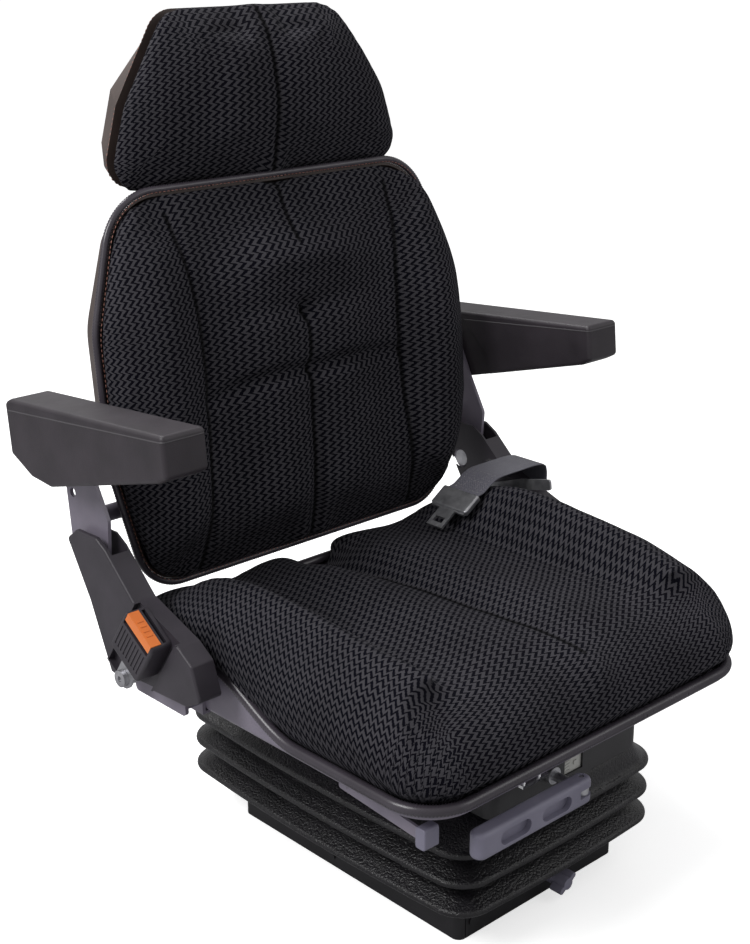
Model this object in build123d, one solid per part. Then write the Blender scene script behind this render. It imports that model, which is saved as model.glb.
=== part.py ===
from build123d import *
from math import atan2, cos, degrees, hypot, radians, sin, sqrt
import os

# Suspension seat for a tractor. Millimetres. The seat faces -Y, +Z is up and the origin is the
# centre of the base's underside. The driver's right is -X.

# Base
base_width = 242.0
base_length = 340.0
base_height = 30.0
tray_wall = 3.0
tray_corner = 9.0
mount_spacing_x = 160.0
mount_spacing_y = 260.0
mount_hole_r = 4.5
knob_x = 16.0
knob_z = 18.0
knob_stud_r = 4.0
knob_wing = 14.0
knob_reach = 26.0
running = 0.05

# Scissor suspension
travel = 80.0
arm_length = 280.0
arm_rise = 100.0
arm_depth = 20.0
arm_plate = 5.0
arm_front_y = -130.0
arm_pivot_z = 16.0
outer_arm_x = 80.0
inner_arm_x = 70.0
pivot_r = 6.0
roller_r = 9.0
roller_width = 9.0
roller_shaft_r = 5.0
roller_room = 0.9
centre_pin_r = 5.0
centre_room = 0.9
track_wall = 2.5
track_depth = 13.5
upper_track_x = 101.5
spring_x = 35.0
spring_r = 11.0
spring_wire_r = 2.0
spring_turns = 8
damper_rear_y = 100.0
damper_front_y = -120.0
damper_r = 11.0
damper_rod_r = 5.0
damper_room = 2.3

# Bellows
lip_half_width = 152.0
lip_half_length = 219.0
bellows_y = 16.0
side_bow = 8.0
front_bow = 5.0
bellows_corner = 32.0
bellows_wall = 2.4
bellows_fold = 24.0
lip_height = 9.0
rib_pitch = 32.5
first_rib_z = 53.0
rib_count = 3

# Upper frame
housing_bottom = 148.0
housing_top = 183.0
housing_wall = 2.5
housing_front_y = -202.0
housing_rear_y = 200.0
housing_half_width = 113.0
housing_corner = 12.0
window_x = 8.0
window_width = 28.0
window_height = 20.0

# Weight adjuster
spindle_x = -28.0
spindle_z = 168.0
spindle_r = 5.0
fork_y = -241.0
lug_thickness = 8.0
handle_length = 152.0
handle_height = 28.0
handle_depth = 19.0
crosshead_y = -100.0
crosshead_half = 50.0
spring_front_z = 156.0

# Slide rails
rail_x = 92.0
rail_width = 42.0
rail_height = 24.0
rail_wall = 2.5
rail_length = 360.0
slider_front_y = -112.0
slider_rear_y = 165.0
slide_pad_y = 85.0
slide_pad = 2.0
lever_x = 215.0
lever_hinge_y = -110.0
lever_hinge_z = 193.0
lever_rod_r = 4.0
tab_front_y = -222.0

# Seat pan and cushion
pan_half_width = 240.0
pan_front_y = -244.0
pan_rear_y = 198.0
pan_wall = 2.5
pan_corner = 52.0
pan_rear_corner = 26.0
rim_low = 218.0
rim_high = 264.0
rim_rise_start = -62.0
rim_rise_end = 74.0
trim_r = 6.2
cushion_half_width = 251.0
cushion_front_y = -260.0
cushion_rear_y = 208.0
cushion_bottom_over = 8.0

# Recliner hinges and covers
recline_y = 205.0
recline_z = 330.0
back_tilt = 6.0
seat_plate_x = 268.0
plate_t = 4.0
plate_gap = 1.0
cover_outer = 289.0
cover_inner = 262.0
cover_wall = 2.5
hinge_bolt_r = 6.0
recliner_r = 13.0
cover_profile = [
    (238, 363),
    (221, 376),
    (185, 377),
    (169, 368),
    (123, 326),
    (51, 301),
    (31, 288),
    (19, 254),
    (43, 241),
    (119, 237),
    (170, 233),
    (202, 304),
]

# Backrest, drawn upright about the recline pivot
back_low = -33.0
back_high = 374.0
back_half_width = 243.0
back_half_top = 206.0
back_half_bottom = 214.0
rim_y = -2.0
shell_y = 60.0
shell_wall = 3.0
shell_inset = 26.0
foam_y = 18.0
piping_r = 4.0
tube_r = 9.0
tube_y = 27.5
tube_low_z = 50.0
tube_high_z = 118.0

# Headrest
head_low = 381.0
head_high = 555.0
head_half_low = 190.0
head_half_high = 112.0
head_front_y = -8.0
head_rim_y = 28.0
head_rear_y = 58.0
post_x = 55.0
post_r = 6.0
post_y = 40.0
post_length = 110.0
post_grip = 40.0

# Armrests
pad_inner = 271.5
pad_outer = 321.0
pad_top = 186.0
pad_front = -208.0
pad_rear = 64.0
pad_front_depth = 50.0
pad_rear_depth = 84.0
arm_pivot_y = 22.0
arm_pivot_up = 146.0
arm_bolt_r = 5.0

# Lap belt
buckle_width = 52.0
buckle_thickness = 24.0
buckle_length = 56.0
buckle_lean = 34.0
buckle_bolt_y = 138.0
buckle_bolt_z = 241.0
pocket_depth = 7.0
web_width = 48.0
web_thickness = 1.4
web_y = 112.0
web_crest_z = 346.0
tongue_x = 145.0
tongue_z = 316.0
tongue_lean = 33.0

os.makedirs("parts", exist_ok=True)

half_base_x = base_width / 2
half_base_y = base_length / 2
arm_reach = sqrt(arm_length**2 - arm_rise**2)
roller_y = arm_front_y + arm_reach
roller_far_y = arm_front_y + sqrt(arm_length**2 - (arm_rise - travel) ** 2)
upper_pivot_z = arm_pivot_z + arm_rise
lower_track_x = half_base_x - tray_wall
track_y0 = roller_y - roller_r - 10
track_y1 = roller_far_y + roller_r + 2
pan_floor = housing_top + rail_height
foam_floor = pan_floor + pan_wall
back_plate_x = seat_plate_x + plate_t + plate_gap
back_plate_outer = back_plate_x + plate_t


def box(x0, x1, y0, y1, z0, z1):
    """A plain block between two corners."""
    centre = ((x0 + x1) / 2, (y0 + y1) / 2, (z0 + z1) / 2)
    return Pos(*centre) * Box(abs(x1 - x0), abs(y1 - y0), abs(z1 - z0))


def rod_x(x0, x1, y, z, r):
    """A round bar along X."""
    return Pos((x0 + x1) / 2, y, z) * Rot(0, 90, 0) * Cylinder(r, abs(x1 - x0))


def rod_y(y0, y1, x, z, r):
    """A round bar along Y."""
    return Pos(x, (y0 + y1) / 2, z) * Rot(90, 0, 0) * Cylinder(r, abs(y1 - y0))


def rod_z(z0, z1, x, y, r):
    """A round bar along Z."""
    return Pos(x, y, (z0 + z1) / 2) * Cylinder(r, abs(z1 - z0))


def side_view(face, x0, x1):
    """A face drawn as (y, z), stretched from x0 to x1."""
    turned = Plane(origin=(min(x0, x1), 0, 0), x_dir=(0, 1, 0), z_dir=(1, 0, 0)) * face
    return extrude(turned, amount=abs(x1 - x0), dir=(1, 0, 0))


def front_view(face, y0, y1):
    """A face drawn as (x, z), stretched from y0 to y1."""
    turned = Plane(origin=(0, max(y0, y1), 0), x_dir=(1, 0, 0), z_dir=(0, -1, 0)) * face
    return extrude(turned, amount=abs(y1 - y0), dir=(0, -1, 0))


def outline(points, radius):
    """A closed flat shape through corners, all rounded alike."""
    return make_face(FilletPolyline(*points, radius=radius, close=True))


def common(first, second):
    """The one solid that two shapes share."""
    return (first & second).solids()[0]


def both_sides(shape):
    """A piece and its mirror image."""
    return Compound(children=list(shape.solids()) + list(mirror(shape, about=Plane.YZ).solids()))


def bar_between(y0, z0, y1, z1, half, x0, x1):
    """A flat bar with round ends between two points seen from the side."""
    length = hypot(y1 - y0, z1 - z0)
    slot = SlotCenterToCenter(length, half * 2)
    turn = Pos((y0 + y1) / 2, (z0 + z1) / 2) * Rot(0, 0, degrees(atan2(z1 - z0, y1 - y0)))
    return side_view(turn * slot, x0, x1)


def save(name, shape):
    """Writes one piece, or a group of like pieces, under its own name."""
    solids = shape.solids()
    out = solids[0] if len(solids) == 1 else Compound(children=list(solids))
    out.label = name
    export_step(out, f"parts/{name}.step")


# Base tray: pressed steel, open at the top, with four mounting holes
def base_tray():
    inner_corner = tray_corner - tray_wall
    outer = extrude(RectangleRounded(base_width, base_length, tray_corner), base_height)
    room = RectangleRounded(base_width - 2 * tray_wall, base_length - 2 * tray_wall, inner_corner)
    tray = outer - Pos(0, 0, tray_wall) * extrude(room, base_height)
    for x in (-mount_spacing_x / 2, mount_spacing_x / 2):
        for y in (-mount_spacing_y / 2, mount_spacing_y / 2):
            tray -= rod_z(-1, tray_wall + 1, x, y, mount_hole_r)
    seam_x = -half_base_x + tray_corner
    tray -= box(seam_x, seam_x + 1.2, -half_base_y - 1, -half_base_y + 0.8, 0, base_height)
    tray += rod_x(-half_base_x - 1.5, -half_base_x, 18, 12, 3.5)
    tray += rod_y(-half_base_y - 1.5, -half_base_y, -half_base_x + 20, 17, 5.5)
    stud_hole_r = knob_stud_r + running
    tray -= rod_y(-half_base_y - 1, -half_base_y + tray_wall + 1, knob_x, knob_z, stud_hole_r)
    return tray


def wing_knob():
    face_y = -half_base_y
    knob = rod_y(face_y - 8, face_y - 0.1, knob_x, knob_z, 8)
    knob += rod_y(face_y - knob_reach, face_y - 8, knob_x, knob_z, 6.5)
    wing = Pos(knob_x, knob_z) * Rot(0, 0, 35) * SlotOverall(knob_wing * 2, 6)
    knob += fillet(front_view(wing, face_y - knob_reach, face_y - 10).edges(), 1.2)
    knob += rod_y(face_y - 1, face_y + tray_wall + 6, knob_x, knob_z, knob_stud_r)
    return knob


def channel(x_web, side, z_mid, z_low, y0, y1):
    """A track open toward the middle of the seat, with its rollers' running room."""
    half = roller_r + roller_room
    x_in = x_web - track_depth
    web = box(x_web - track_wall, x_web, y0, y1, z_low, z_mid + half + track_wall)
    low = box(x_in, x_web, y0, y1, z_low, z_mid - half)
    high = box(x_in, x_web, y0, y1, z_mid + half, z_mid + half + track_wall)
    track = web + low + high
    return track if side > 0 else mirror(track, about=Plane.YZ)


def lower_tracks():
    tracks = []
    for side in (-1, 1):
        tracks += channel(lower_track_x, side, arm_pivot_z, tray_wall, track_y0, track_y1).solids()
    return Compound(children=tracks)


# Front pivots and damper foot, standing on the tray's floor
def base_brackets():
    solids = []
    pin_x = outer_arm_x + arm_plate + 3
    for side in (-1, 1):
        post = [(-145, tray_wall), (-115, tray_wall), (-122, 27), (-138, 27)]
        pivot = side_view(outline(post, 3), pin_x, pin_x + 3)
        pivot += rod_x(outer_arm_x - 2, pin_x + 3, arm_front_y, arm_pivot_z, pivot_r)
        solids += (pivot if side > 0 else mirror(pivot, about=Plane.YZ)).solids()
    foot = box(-15, 15, damper_front_y - 14, damper_front_y + 14, tray_wall, tray_wall + 2)
    for x in (-15, 12):
        foot += box(x, x + 3, damper_front_y - 8, damper_front_y + 8, tray_wall, arm_pivot_z + 7)
    foot += rod_x(-15, 15, damper_front_y, arm_pivot_z, damper_rod_r)
    return Compound(children=solids + list(foot.solids()))


def scissor_arms(x_plate, z_front, z_rear, shaft_half, centre_hole):
    """Two side plates joined by the rear roller shaft."""
    shaft = rod_x(-shaft_half, shaft_half, roller_y, z_rear, roller_shaft_r)
    half = arm_depth / 2
    for side in (-1, 1):
        x0, x1 = side * x_plate, side * (x_plate + arm_plate)
        plate = bar_between(arm_front_y, z_front, roller_y, z_rear, half, x0, x1)
        plate -= rod_x(x0 - side, x1 + side, arm_front_y, z_front, pivot_r + running)
        if centre_hole:
            mid_y = (arm_front_y + roller_y) / 2
            mid_z = (z_front + z_rear) / 2
            plate -= rod_x(x0 - side, x1 + side, mid_y, mid_z, centre_pin_r + centre_room)
        shaft += plate
    return shaft


def outer_arms():
    arms = scissor_arms(outer_arm_x, arm_pivot_z, upper_pivot_z, upper_track_x - 3.5, False)
    mid_y = (arm_front_y + roller_y) / 2
    mid_z = (arm_pivot_z + upper_pivot_z) / 2
    for side in (-1, 1):
        x0, x1 = side * (inner_arm_x - 2), side * (outer_arm_x + 1)
        arms += rod_x(x0, x1, mid_y, mid_z, centre_pin_r)
    return arms


def inner_arms():
    return scissor_arms(inner_arm_x, upper_pivot_z, arm_pivot_z, lower_track_x - 3.5, True)


def roller(side, x_web, z):
    x0, x1 = side * (x_web - 3.5 - roller_width), side * (x_web - 3.5)
    wheel = rod_x(x0, x1, roller_y, z, roller_r)
    wheel = chamfer(wheel.edges(), 0.8)
    return wheel - rod_x(x0 - side, x1 + side, roller_y, z, roller_shaft_r + running)


# Tension springs: closed coils, drawn as one turned body with a groove after each turn
def tension_springs():
    rise = spring_front_z - upper_pivot_z
    run = roller_y - crosshead_y
    length = hypot(run, rise)
    eye_r = roller_shaft_r + spring_wire_r + 0.1
    half = length / 2 - 2 * eye_r - 8
    pitch = 2 * half / spring_turns
    hollow = spring_r - spring_wire_r
    edge = [(hollow, -half)]
    for turn in range(spring_turns):
        low = -half + turn * pitch
        edge += [(spring_r, low), (spring_r + spring_wire_r, low + pitch / 2)]
    edge += [(spring_r, half), (hollow, half)]
    turned = Plane.XZ * make_face(Polyline(*edge, close=True))
    spring = revolve(turned, axis=Axis.Z)
    for end in (-1, 1):
        reach = end * (length / 2 - eye_r)
        spring += rod_z(end * (half - 2), end * (half + 2), 0, 0, spring_r + 1)
        spring += rod_z(end * half, reach, 0, 0, spring_wire_r - 0.4)
        eye = rod_x(-spring_wire_r, spring_wire_r, 0, end * length / 2, eye_r + spring_wire_r)
        spring += eye - rod_x(-3, 3, 0, end * length / 2, eye_r - spring_wire_r)
    tilt = degrees(atan2(rise, run))
    mid_y = (roller_y + crosshead_y) / 2
    mid_z = (upper_pivot_z + spring_front_z) / 2
    return both_sides(Pos(spring_x, mid_y, mid_z) * Rot(90 - tilt, 0, 0) * spring)


def spring_crosshead():
    head = box(-crosshead_half, crosshead_half, crosshead_y - 20, crosshead_y - 11, 146, 178)
    for x in (-spring_x, spring_x):
        for lug in (x - 8, x + 5):
            head += box(lug, lug + 3, crosshead_y - 12, crosshead_y + 7, 148, 162)
        head += rod_x(x - 8, x + 8, crosshead_y, spring_front_z, roller_shaft_r)
    return head - rod_y(crosshead_y - 21, crosshead_y - 10, spindle_x, spindle_z, spindle_r + running)


def damper_axis():
    """Angle at rest and length between eyes, both set midway in the drift they allow for."""
    run = damper_rear_y - damper_front_y
    low_rise = arm_rise - travel
    mid_rise = arm_rise - travel / 2
    ends = (hypot(run, arm_rise) + hypot(run, low_rise)) / 2
    length = hypot(run, arm_rise) - (ends - hypot(run, mid_rise)) / 2
    angle_ends = (atan2(arm_rise, run) + atan2(low_rise, run)) / 2
    angle = atan2(arm_rise, run) + (atan2(mid_rise, run) - angle_ends) / 2
    return degrees(angle), length


def along_damper(shape):
    """Places a piece drawn along +Z from the lower eye."""
    angle = damper_axis()[0]
    return Pos(0, damper_front_y, arm_pivot_z) * Rot(-(90 - angle), 0, 0) * shape


def damper_body():
    body = rod_z(12, 132, 0, 0, damper_r) + rod_x(-9, 9, 0, 0, 9) + rod_z(0, 14, 0, 0, 7)
    body -= rod_z(34, 140, 0, 0, damper_rod_r + running)
    body -= rod_x(-10, 10, 0, 0, damper_rod_r + running)
    return along_damper(body)


def damper_rod():
    length = damper_axis()[1]
    eye_r = damper_rod_r + damper_room
    rod = rod_z(60, length - eye_r - 2, 0, 0, damper_rod_r) + rod_x(-9, 9, 0, length, eye_r + 4)
    return along_damper(rod - rod_x(-10, 10, 0, length, eye_r))


def upper_tracks():
    roof = housing_top - housing_wall
    low = upper_pivot_z - roller_r - roller_room - track_wall
    track = channel(upper_track_x, 1, upper_pivot_z, low, track_y0, track_y1)
    track += box(upper_track_x - track_wall, upper_track_x, track_y0, track_y1, low, roof)
    return both_sides(track)


# Upper frame under the housing: front pivots and damper head
def upper_frame():
    roof = housing_top - housing_wall
    solids = []
    for side in (-1, 1):
        drop = [(-148, roof), (-112, roof), (-120, upper_pivot_z - 10), (-140, upper_pivot_z - 10)]
        bracket = side_view(outline(drop, 2), inner_arm_x - 6, inner_arm_x - 3)
        bracket += rod_x(inner_arm_x - 6, inner_arm_x + 7, arm_front_y, upper_pivot_z, pivot_r)
        solids += (bracket if side > 0 else mirror(bracket, about=Plane.YZ)).solids()
    head = box(-15, 15, damper_rear_y - 14, damper_rear_y + 14, roof - 3, roof)
    for x in (-15, 12):
        head += box(x, x + 3, damper_rear_y - 9, damper_rear_y + 9, upper_pivot_z - 9, roof)
    head += rod_x(-15, 15, damper_rear_y, upper_pivot_z, damper_rod_r)
    return Compound(children=solids + list(head.solids()))


def bellows_plan(half_w, half_l, centre_y, bow_x, bow_y, corner):
    """The bellows seen from above at one height."""
    front_y = centre_y - half_l
    rear_y = centre_y + half_l
    edges = [
        ThreePointArc((-half_w, front_y), (0, front_y - bow_y), (half_w, front_y)),
        ThreePointArc((half_w, front_y), (half_w + bow_x, centre_y), (half_w, rear_y)),
        ThreePointArc((half_w, rear_y), (0, rear_y + bow_y), (-half_w, rear_y)),
        ThreePointArc((-half_w, rear_y), (-half_w - bow_x, centre_y), (-half_w, front_y)),
    ]
    plan = make_face(Wire(edges))
    return fillet(plan.vertices(), corner)


def bellows_sections(extra):
    """The outline at every fold from the foot to the head, drawn in by extra."""
    sections = []

    def fold(inset, z):
        half_w = lip_half_width - inset - extra
        half_l = lip_half_length - inset - extra
        corner = bellows_corner - inset / 2 - extra / 2
        plan = bellows_plan(half_w, half_l, bellows_y, side_bow, front_bow, corner)
        sections.append(Pos(0, 0, z) * plan)

    foot_w = half_base_x - 0.4 - extra
    foot_l = half_base_y - 0.4 - extra
    foot = bellows_plan(foot_w, foot_l, 0, 0.3, 0.3, tray_corner)
    sections.append(Pos(0, 0, base_height) * foot)
    for rib in range(rib_count):
        middle = first_rib_z + rib * rib_pitch
        fold(1.5, middle - lip_height / 2)
        fold(0, middle - lip_height / 4)
        fold(0, middle + lip_height / 4)
        fold(1.5, middle + lip_height / 2)
        if rib < rib_count - 1:
            fold(bellows_fold, middle + rib_pitch / 2)
    head_w = housing_half_width - 0.4 - extra
    head_l = (housing_rear_y - housing_front_y) / 2 - 0.4 - extra
    head_y = (housing_rear_y + housing_front_y) / 2
    head = bellows_plan(head_w, head_l, head_y, 0.3, 0.3, housing_corner)
    sections.append(Pos(0, 0, housing_bottom) * head)
    return sections


def folded_body(extra):
    """Everything inside the folds, band by band."""
    sections = bellows_sections(extra)
    body = loft(sections[:2], ruled=True)
    for pair in zip(sections[1:], sections[2:]):
        body += loft(list(pair), ruled=True)
    return body


def bellows():
    return folded_body(0) - folded_body(bellows_wall)


# Upper housing: pressed box, open below, that carries the rails and the weight window
def upper_housing():
    centre_y = (housing_rear_y + housing_front_y) / 2
    length = housing_rear_y - housing_front_y
    height = housing_top - housing_bottom
    width = housing_half_width * 2
    plan = Pos(0, centre_y) * RectangleRounded(width, length, housing_corner)
    room = Pos(0, centre_y) * RectangleRounded(
        width - 2 * housing_wall, length - 2 * housing_wall, housing_corner - housing_wall
    )
    body = extrude(Pos(0, 0, housing_bottom) * plan, height)
    top_edges = body.faces().sort_by(Axis.Z)[-1].edges()
    body = fillet(top_edges, 2)
    body -= extrude(Pos(0, 0, housing_bottom) * room, height - housing_wall)
    mid_z = housing_bottom + 18
    x0, x1 = window_x - window_width / 2, window_x + window_width / 2
    z0, z1 = mid_z - window_height / 2, mid_z + window_height / 2
    body -= box(x0, x1, housing_front_y - 1, housing_front_y + housing_wall + 1, z0, z1)
    hole = rod_y(housing_front_y - 1, housing_front_y + 4, spindle_x, spindle_z, spindle_r + running)
    return body - hole


def weight_scale():
    back_y = housing_front_y + housing_wall
    mid_z = housing_bottom + 18
    x0, x1 = window_x - window_width / 2 - 3, window_x + window_width / 2 + 3
    half = window_height / 2 + 3
    plate = box(x0, x1, back_y, back_y + 2, mid_z - half, mid_z + half)
    for mark in range(5):
        z = mid_z - 7 + mark * 3.5
        plate += box(window_x - 10, window_x - 3, back_y - 0.6, back_y, z - 0.5, z + 0.5)
    return plate + box(window_x + 2, window_x + 6, back_y - 1.2, back_y, mid_z - 3, mid_z + 1)


def adjuster_spindle():
    front = housing_front_y
    spindle = rod_y(crosshead_y - 9, fork_y + 10, spindle_x, spindle_z, spindle_r)
    spindle += rod_y(front - 6, front - 0.1, spindle_x, spindle_z, 9)
    spindle += rod_y(front + housing_wall + 0.1, front + housing_wall + 6, spindle_x, spindle_z, 9)
    half = lug_thickness / 2
    lug = box(spindle_x - 5, spindle_x + 5, fork_y, fork_y + 12, spindle_z - half, spindle_z + half)
    lug += rod_z(spindle_z - half, spindle_z + half, spindle_x, fork_y, 8)
    return spindle + lug - rod_z(spindle_z - 9, spindle_z + 9, spindle_x, fork_y, 3 + running)


def adjuster_handle():
    low = spindle_z - handle_height / 2
    high = spindle_z + handle_height / 2
    end_x = spindle_x - handle_length
    half = handle_depth / 2
    round_end = Pos((spindle_x + half + end_x) / 2, fork_y) * SlotOverall(handle_length + half, handle_depth)
    body = extrude(Pos(0, 0, low) * round_end, high - low)
    ends = body.faces().sort_by(Axis.Z)
    body = fillet(ends[0].edges() + ends[-1].edges(), 5)
    room = lug_thickness / 2 + 0.4
    body -= box(spindle_x - 11, spindle_x + 12, fork_y - 12, fork_y + 12, spindle_z - room, spindle_z + room)
    for centre in (0.3, 0.68):
        x = spindle_x - handle_length * centre
        recess = Pos(x, spindle_z) * SlotOverall(42, 15)
        body -= front_view(recess, fork_y - half - 1, fork_y - half + 6)
    body -= rod_z(low - 1, high + 1, spindle_x, fork_y, 3)
    return body


def handle_pin():
    low = spindle_z - handle_height / 2
    pin = rod_z(low + 1, spindle_z + handle_height / 2 - 1, spindle_x, fork_y, 3)
    return pin


def hook_and_tab():
    y = housing_front_y - 12
    tab = box(-90, -52, y - 7, housing_front_y + 8, housing_top, housing_top + 3)
    low, high = housing_top + 3, housing_top + 16
    arch = [(-82, y, low), (-82, y, high), (-60, y, high), (-60, y, low)]
    path = FilletPolyline(*arch, radius=9)
    wire = sweep(Plane(origin=path @ 0, z_dir=path % 0) * Circle(2.4), path=path)
    return tab + wire


# Slide rails: a lipped channel, a hat section inside it, and plastic pads between them
def rail_section(points):
    return make_face(Polyline(*points, close=True))


def lower_rails():
    half = rail_width / 2
    wall = rail_wall
    low = housing_top
    high = housing_top + rail_height - 5
    lip = half - 8
    points = [
        (-half, low),
        (half, low),
        (half, high),
        (lip, high),
        (lip, high - wall),
        (half - wall, high - wall),
        (half - wall, low + wall),
        (wall - half, low + wall),
        (wall - half, high - wall),
        (-lip, high - wall),
        (-lip, high),
        (-half, high),
    ]
    rail = front_view(rail_section(points), -rail_length / 2, rail_length / 2)
    return both_sides(Pos(rail_x, 0, 0) * rail)


def upper_rails():
    base = housing_top + rail_wall + slide_pad
    front, rear = slider_front_y, slider_rear_y
    foot = box(-17.5, 17.5, front, rear, base, base + 3)
    web = box(-8, 8, front, rear, base + 2, pan_floor - 1)
    head = box(-18, 18, front, rear, pan_floor - rail_wall, pan_floor)
    rail = foot + web + head
    rail -= box(-5.5, 5.5, front - 1, rear + 1, base + 3, pan_floor - rail_wall)
    return both_sides(Pos(rail_x, 0, 0) * rail)


def rail_slides():
    base = housing_top + rail_wall
    pads = []
    for y in (-slide_pad_y, slide_pad_y):
        pad = box(-16, 16, y - 15, y + 15, base, base + slide_pad)
        pads += both_sides(Pos(rail_x, 0, 0) * pad).solids()
    return Compound(children=pads)


def slide_lever():
    rod = rod_x(-lever_x - 4, -121, lever_hinge_y, lever_hinge_z, lever_rod_r)
    bar = [
        (lever_hinge_y + 9, lever_hinge_z + 7),
        (lever_hinge_y + 9, lever_hinge_z - 7),
        (tab_front_y + 9, lever_hinge_z - 16),
        (tab_front_y + 9, lever_hinge_z - 4),
    ]
    arm = side_view(outline(bar, 3), -lever_x - 3, -lever_x)
    pawl = [
        (lever_hinge_y - 7, lever_hinge_z + 6),
        (lever_hinge_y - 7, lever_hinge_z - 7),
        (lever_hinge_y + 7, lever_hinge_z - 7),
        (lever_hinge_y + 7, lever_hinge_z + 6),
    ]
    return rod + arm + side_view(outline(pawl, 2), -126, -122)


def slide_lever_tab():
    x0, x1 = -lever_x - 8, -lever_x + 10
    z0, z1 = lever_hinge_z - 21, lever_hinge_z + 1
    tab = box(x0, x1, tab_front_y, tab_front_y + 13, z0, z1)
    tab = fillet(tab.edges().filter_by(Axis.X), 3.5)
    tab = fillet(tab.faces().sort_by(Axis.X)[0].edges(), 1.5)
    return tab - slide_lever()


def rim_line(extra):
    """Height of the seat pan's rim from front to rear, raised by extra."""
    low = rim_low + extra
    high = rim_high + extra
    front = Line((-320, low), (rim_rise_start, low))
    rise = Spline((rim_rise_start, low), (rim_rise_end, high), tangents=((1, 0), (1, 0)))
    rear = Line((rim_rise_end, high), (320, high))
    return [front, rise, rear]


def above_rim(extra):
    """Everything higher than the rim line."""
    low = rim_low + extra
    high = rim_high + extra
    cap = [Line((320, high), (320, 500)), Line((320, 500), (-320, 500)), Line((-320, 500), (-320, low))]
    return side_view(make_face(rim_line(extra) + cap), -330, 330)


def pan_plan(grow):
    """The pan seen from above, with wide front corners."""
    half = pan_half_width + grow
    front = pan_front_y - grow
    rear = pan_rear_y + grow
    plan = make_face(Polyline((-half, front), (half, front), (half, rear), (-half, rear), close=True))
    front_corners = plan.vertices().group_by(Axis.Y)[0]
    plan = fillet(front_corners, pan_corner + grow)
    rear_corners = plan.vertices().group_by(Axis.Y)[-1]
    return fillet(rear_corners, pan_rear_corner + grow)


# Seat pan: dished steel whose rim climbs toward the rear, with the lever's two hangers
def seat_pan():
    body = extrude(Pos(0, 0, pan_floor) * pan_plan(0), 80)
    body = fillet(body.faces().sort_by(Axis.Z)[0].edges(), 6)
    room = extrude(Pos(0, 0, foam_floor) * pan_plan(-pan_wall), 80)
    room = fillet(room.faces().sort_by(Axis.Z)[0].edges(), 3.5)
    body -= room
    body -= above_rim(0)
    for x in (-lever_x + 10, -140):
        hanger = box(x, x + 3, lever_hinge_y - 9, lever_hinge_y + 9, lever_hinge_z - 7, pan_floor + 1)
        body += hanger - rod_x(x - 1, x + 4, lever_hinge_y, lever_hinge_z, lever_rod_r + running)
    return body


def pan_trim():
    half = pan_half_width - pan_wall / 2
    front = pan_front_y + pan_wall / 2
    rear = pan_rear_y - pan_wall / 2
    corner = pan_corner - pan_wall / 2
    back_corner = pan_rear_corner - pan_wall / 2
    k = 1 - 1 / sqrt(2)
    edges = [Line((half - corner, front, rim_low), (corner - half, front, rim_low))]
    for side in (-1, 1):
        x = side * half
        near = side * (half - corner)
        middle = (side * (half - k * corner), front + k * corner, rim_low)
        edges.append(ThreePointArc((near, front, rim_low), middle, (x, front + corner, rim_low)))
        edges.append(Line((x, front + corner, rim_low), (x, rim_rise_start, rim_low)))
        start, stop = (x, rim_rise_start, rim_low), (x, rim_rise_end, rim_high)
        edges.append(Spline(start, stop, tangents=((0, 1, 0), (0, 1, 0))))
        edges.append(Line(stop, (x, rear - back_corner, rim_high)))
        far = side * (half - back_corner)
        middle = (side * (half - k * back_corner), rear - k * back_corner, rim_high)
        edges.append(ThreePointArc((x, rear - back_corner, rim_high), middle, (far, rear, rim_high)))
    edges.append(Line((half - back_corner, rear, rim_high), (back_corner - half, rear, rim_high)))
    path = Wire(edges)
    section = Plane(origin=path @ 0, z_dir=path % 0) * Circle(trim_r)
    bead = sweep(section, path=path)
    return bead - seat_pan()


def cushion_section(y, half, low, side_z, bolster, valley, panel, groove):
    """The cushion across the seat at one place, from its underside to its crown."""
    top = [
        (-half, side_z),
        (-half + 12, side_z + (bolster - side_z) * 0.62),
        (-206, bolster),
        (-150, valley),
        (-78, panel),
        (-22, panel - (panel - groove) * 0.3),
        (0, groove),
        (22, panel - (panel - groove) * 0.3),
        (78, panel),
        (150, valley),
        (206, bolster),
        (half - 12, side_z + (bolster - side_z) * 0.62),
        (half, side_z),
    ]
    edges = [
        Spline(*top),
        Line((half, side_z), (half, low)),
        Line((half, low), (-half, low)),
        Line((-half, low), (-half, side_z)),
    ]
    plane = Plane(origin=(0, y, 0), x_dir=(1, 0, 0), z_dir=(0, -1, 0))
    return plane * make_face(edges)


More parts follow.
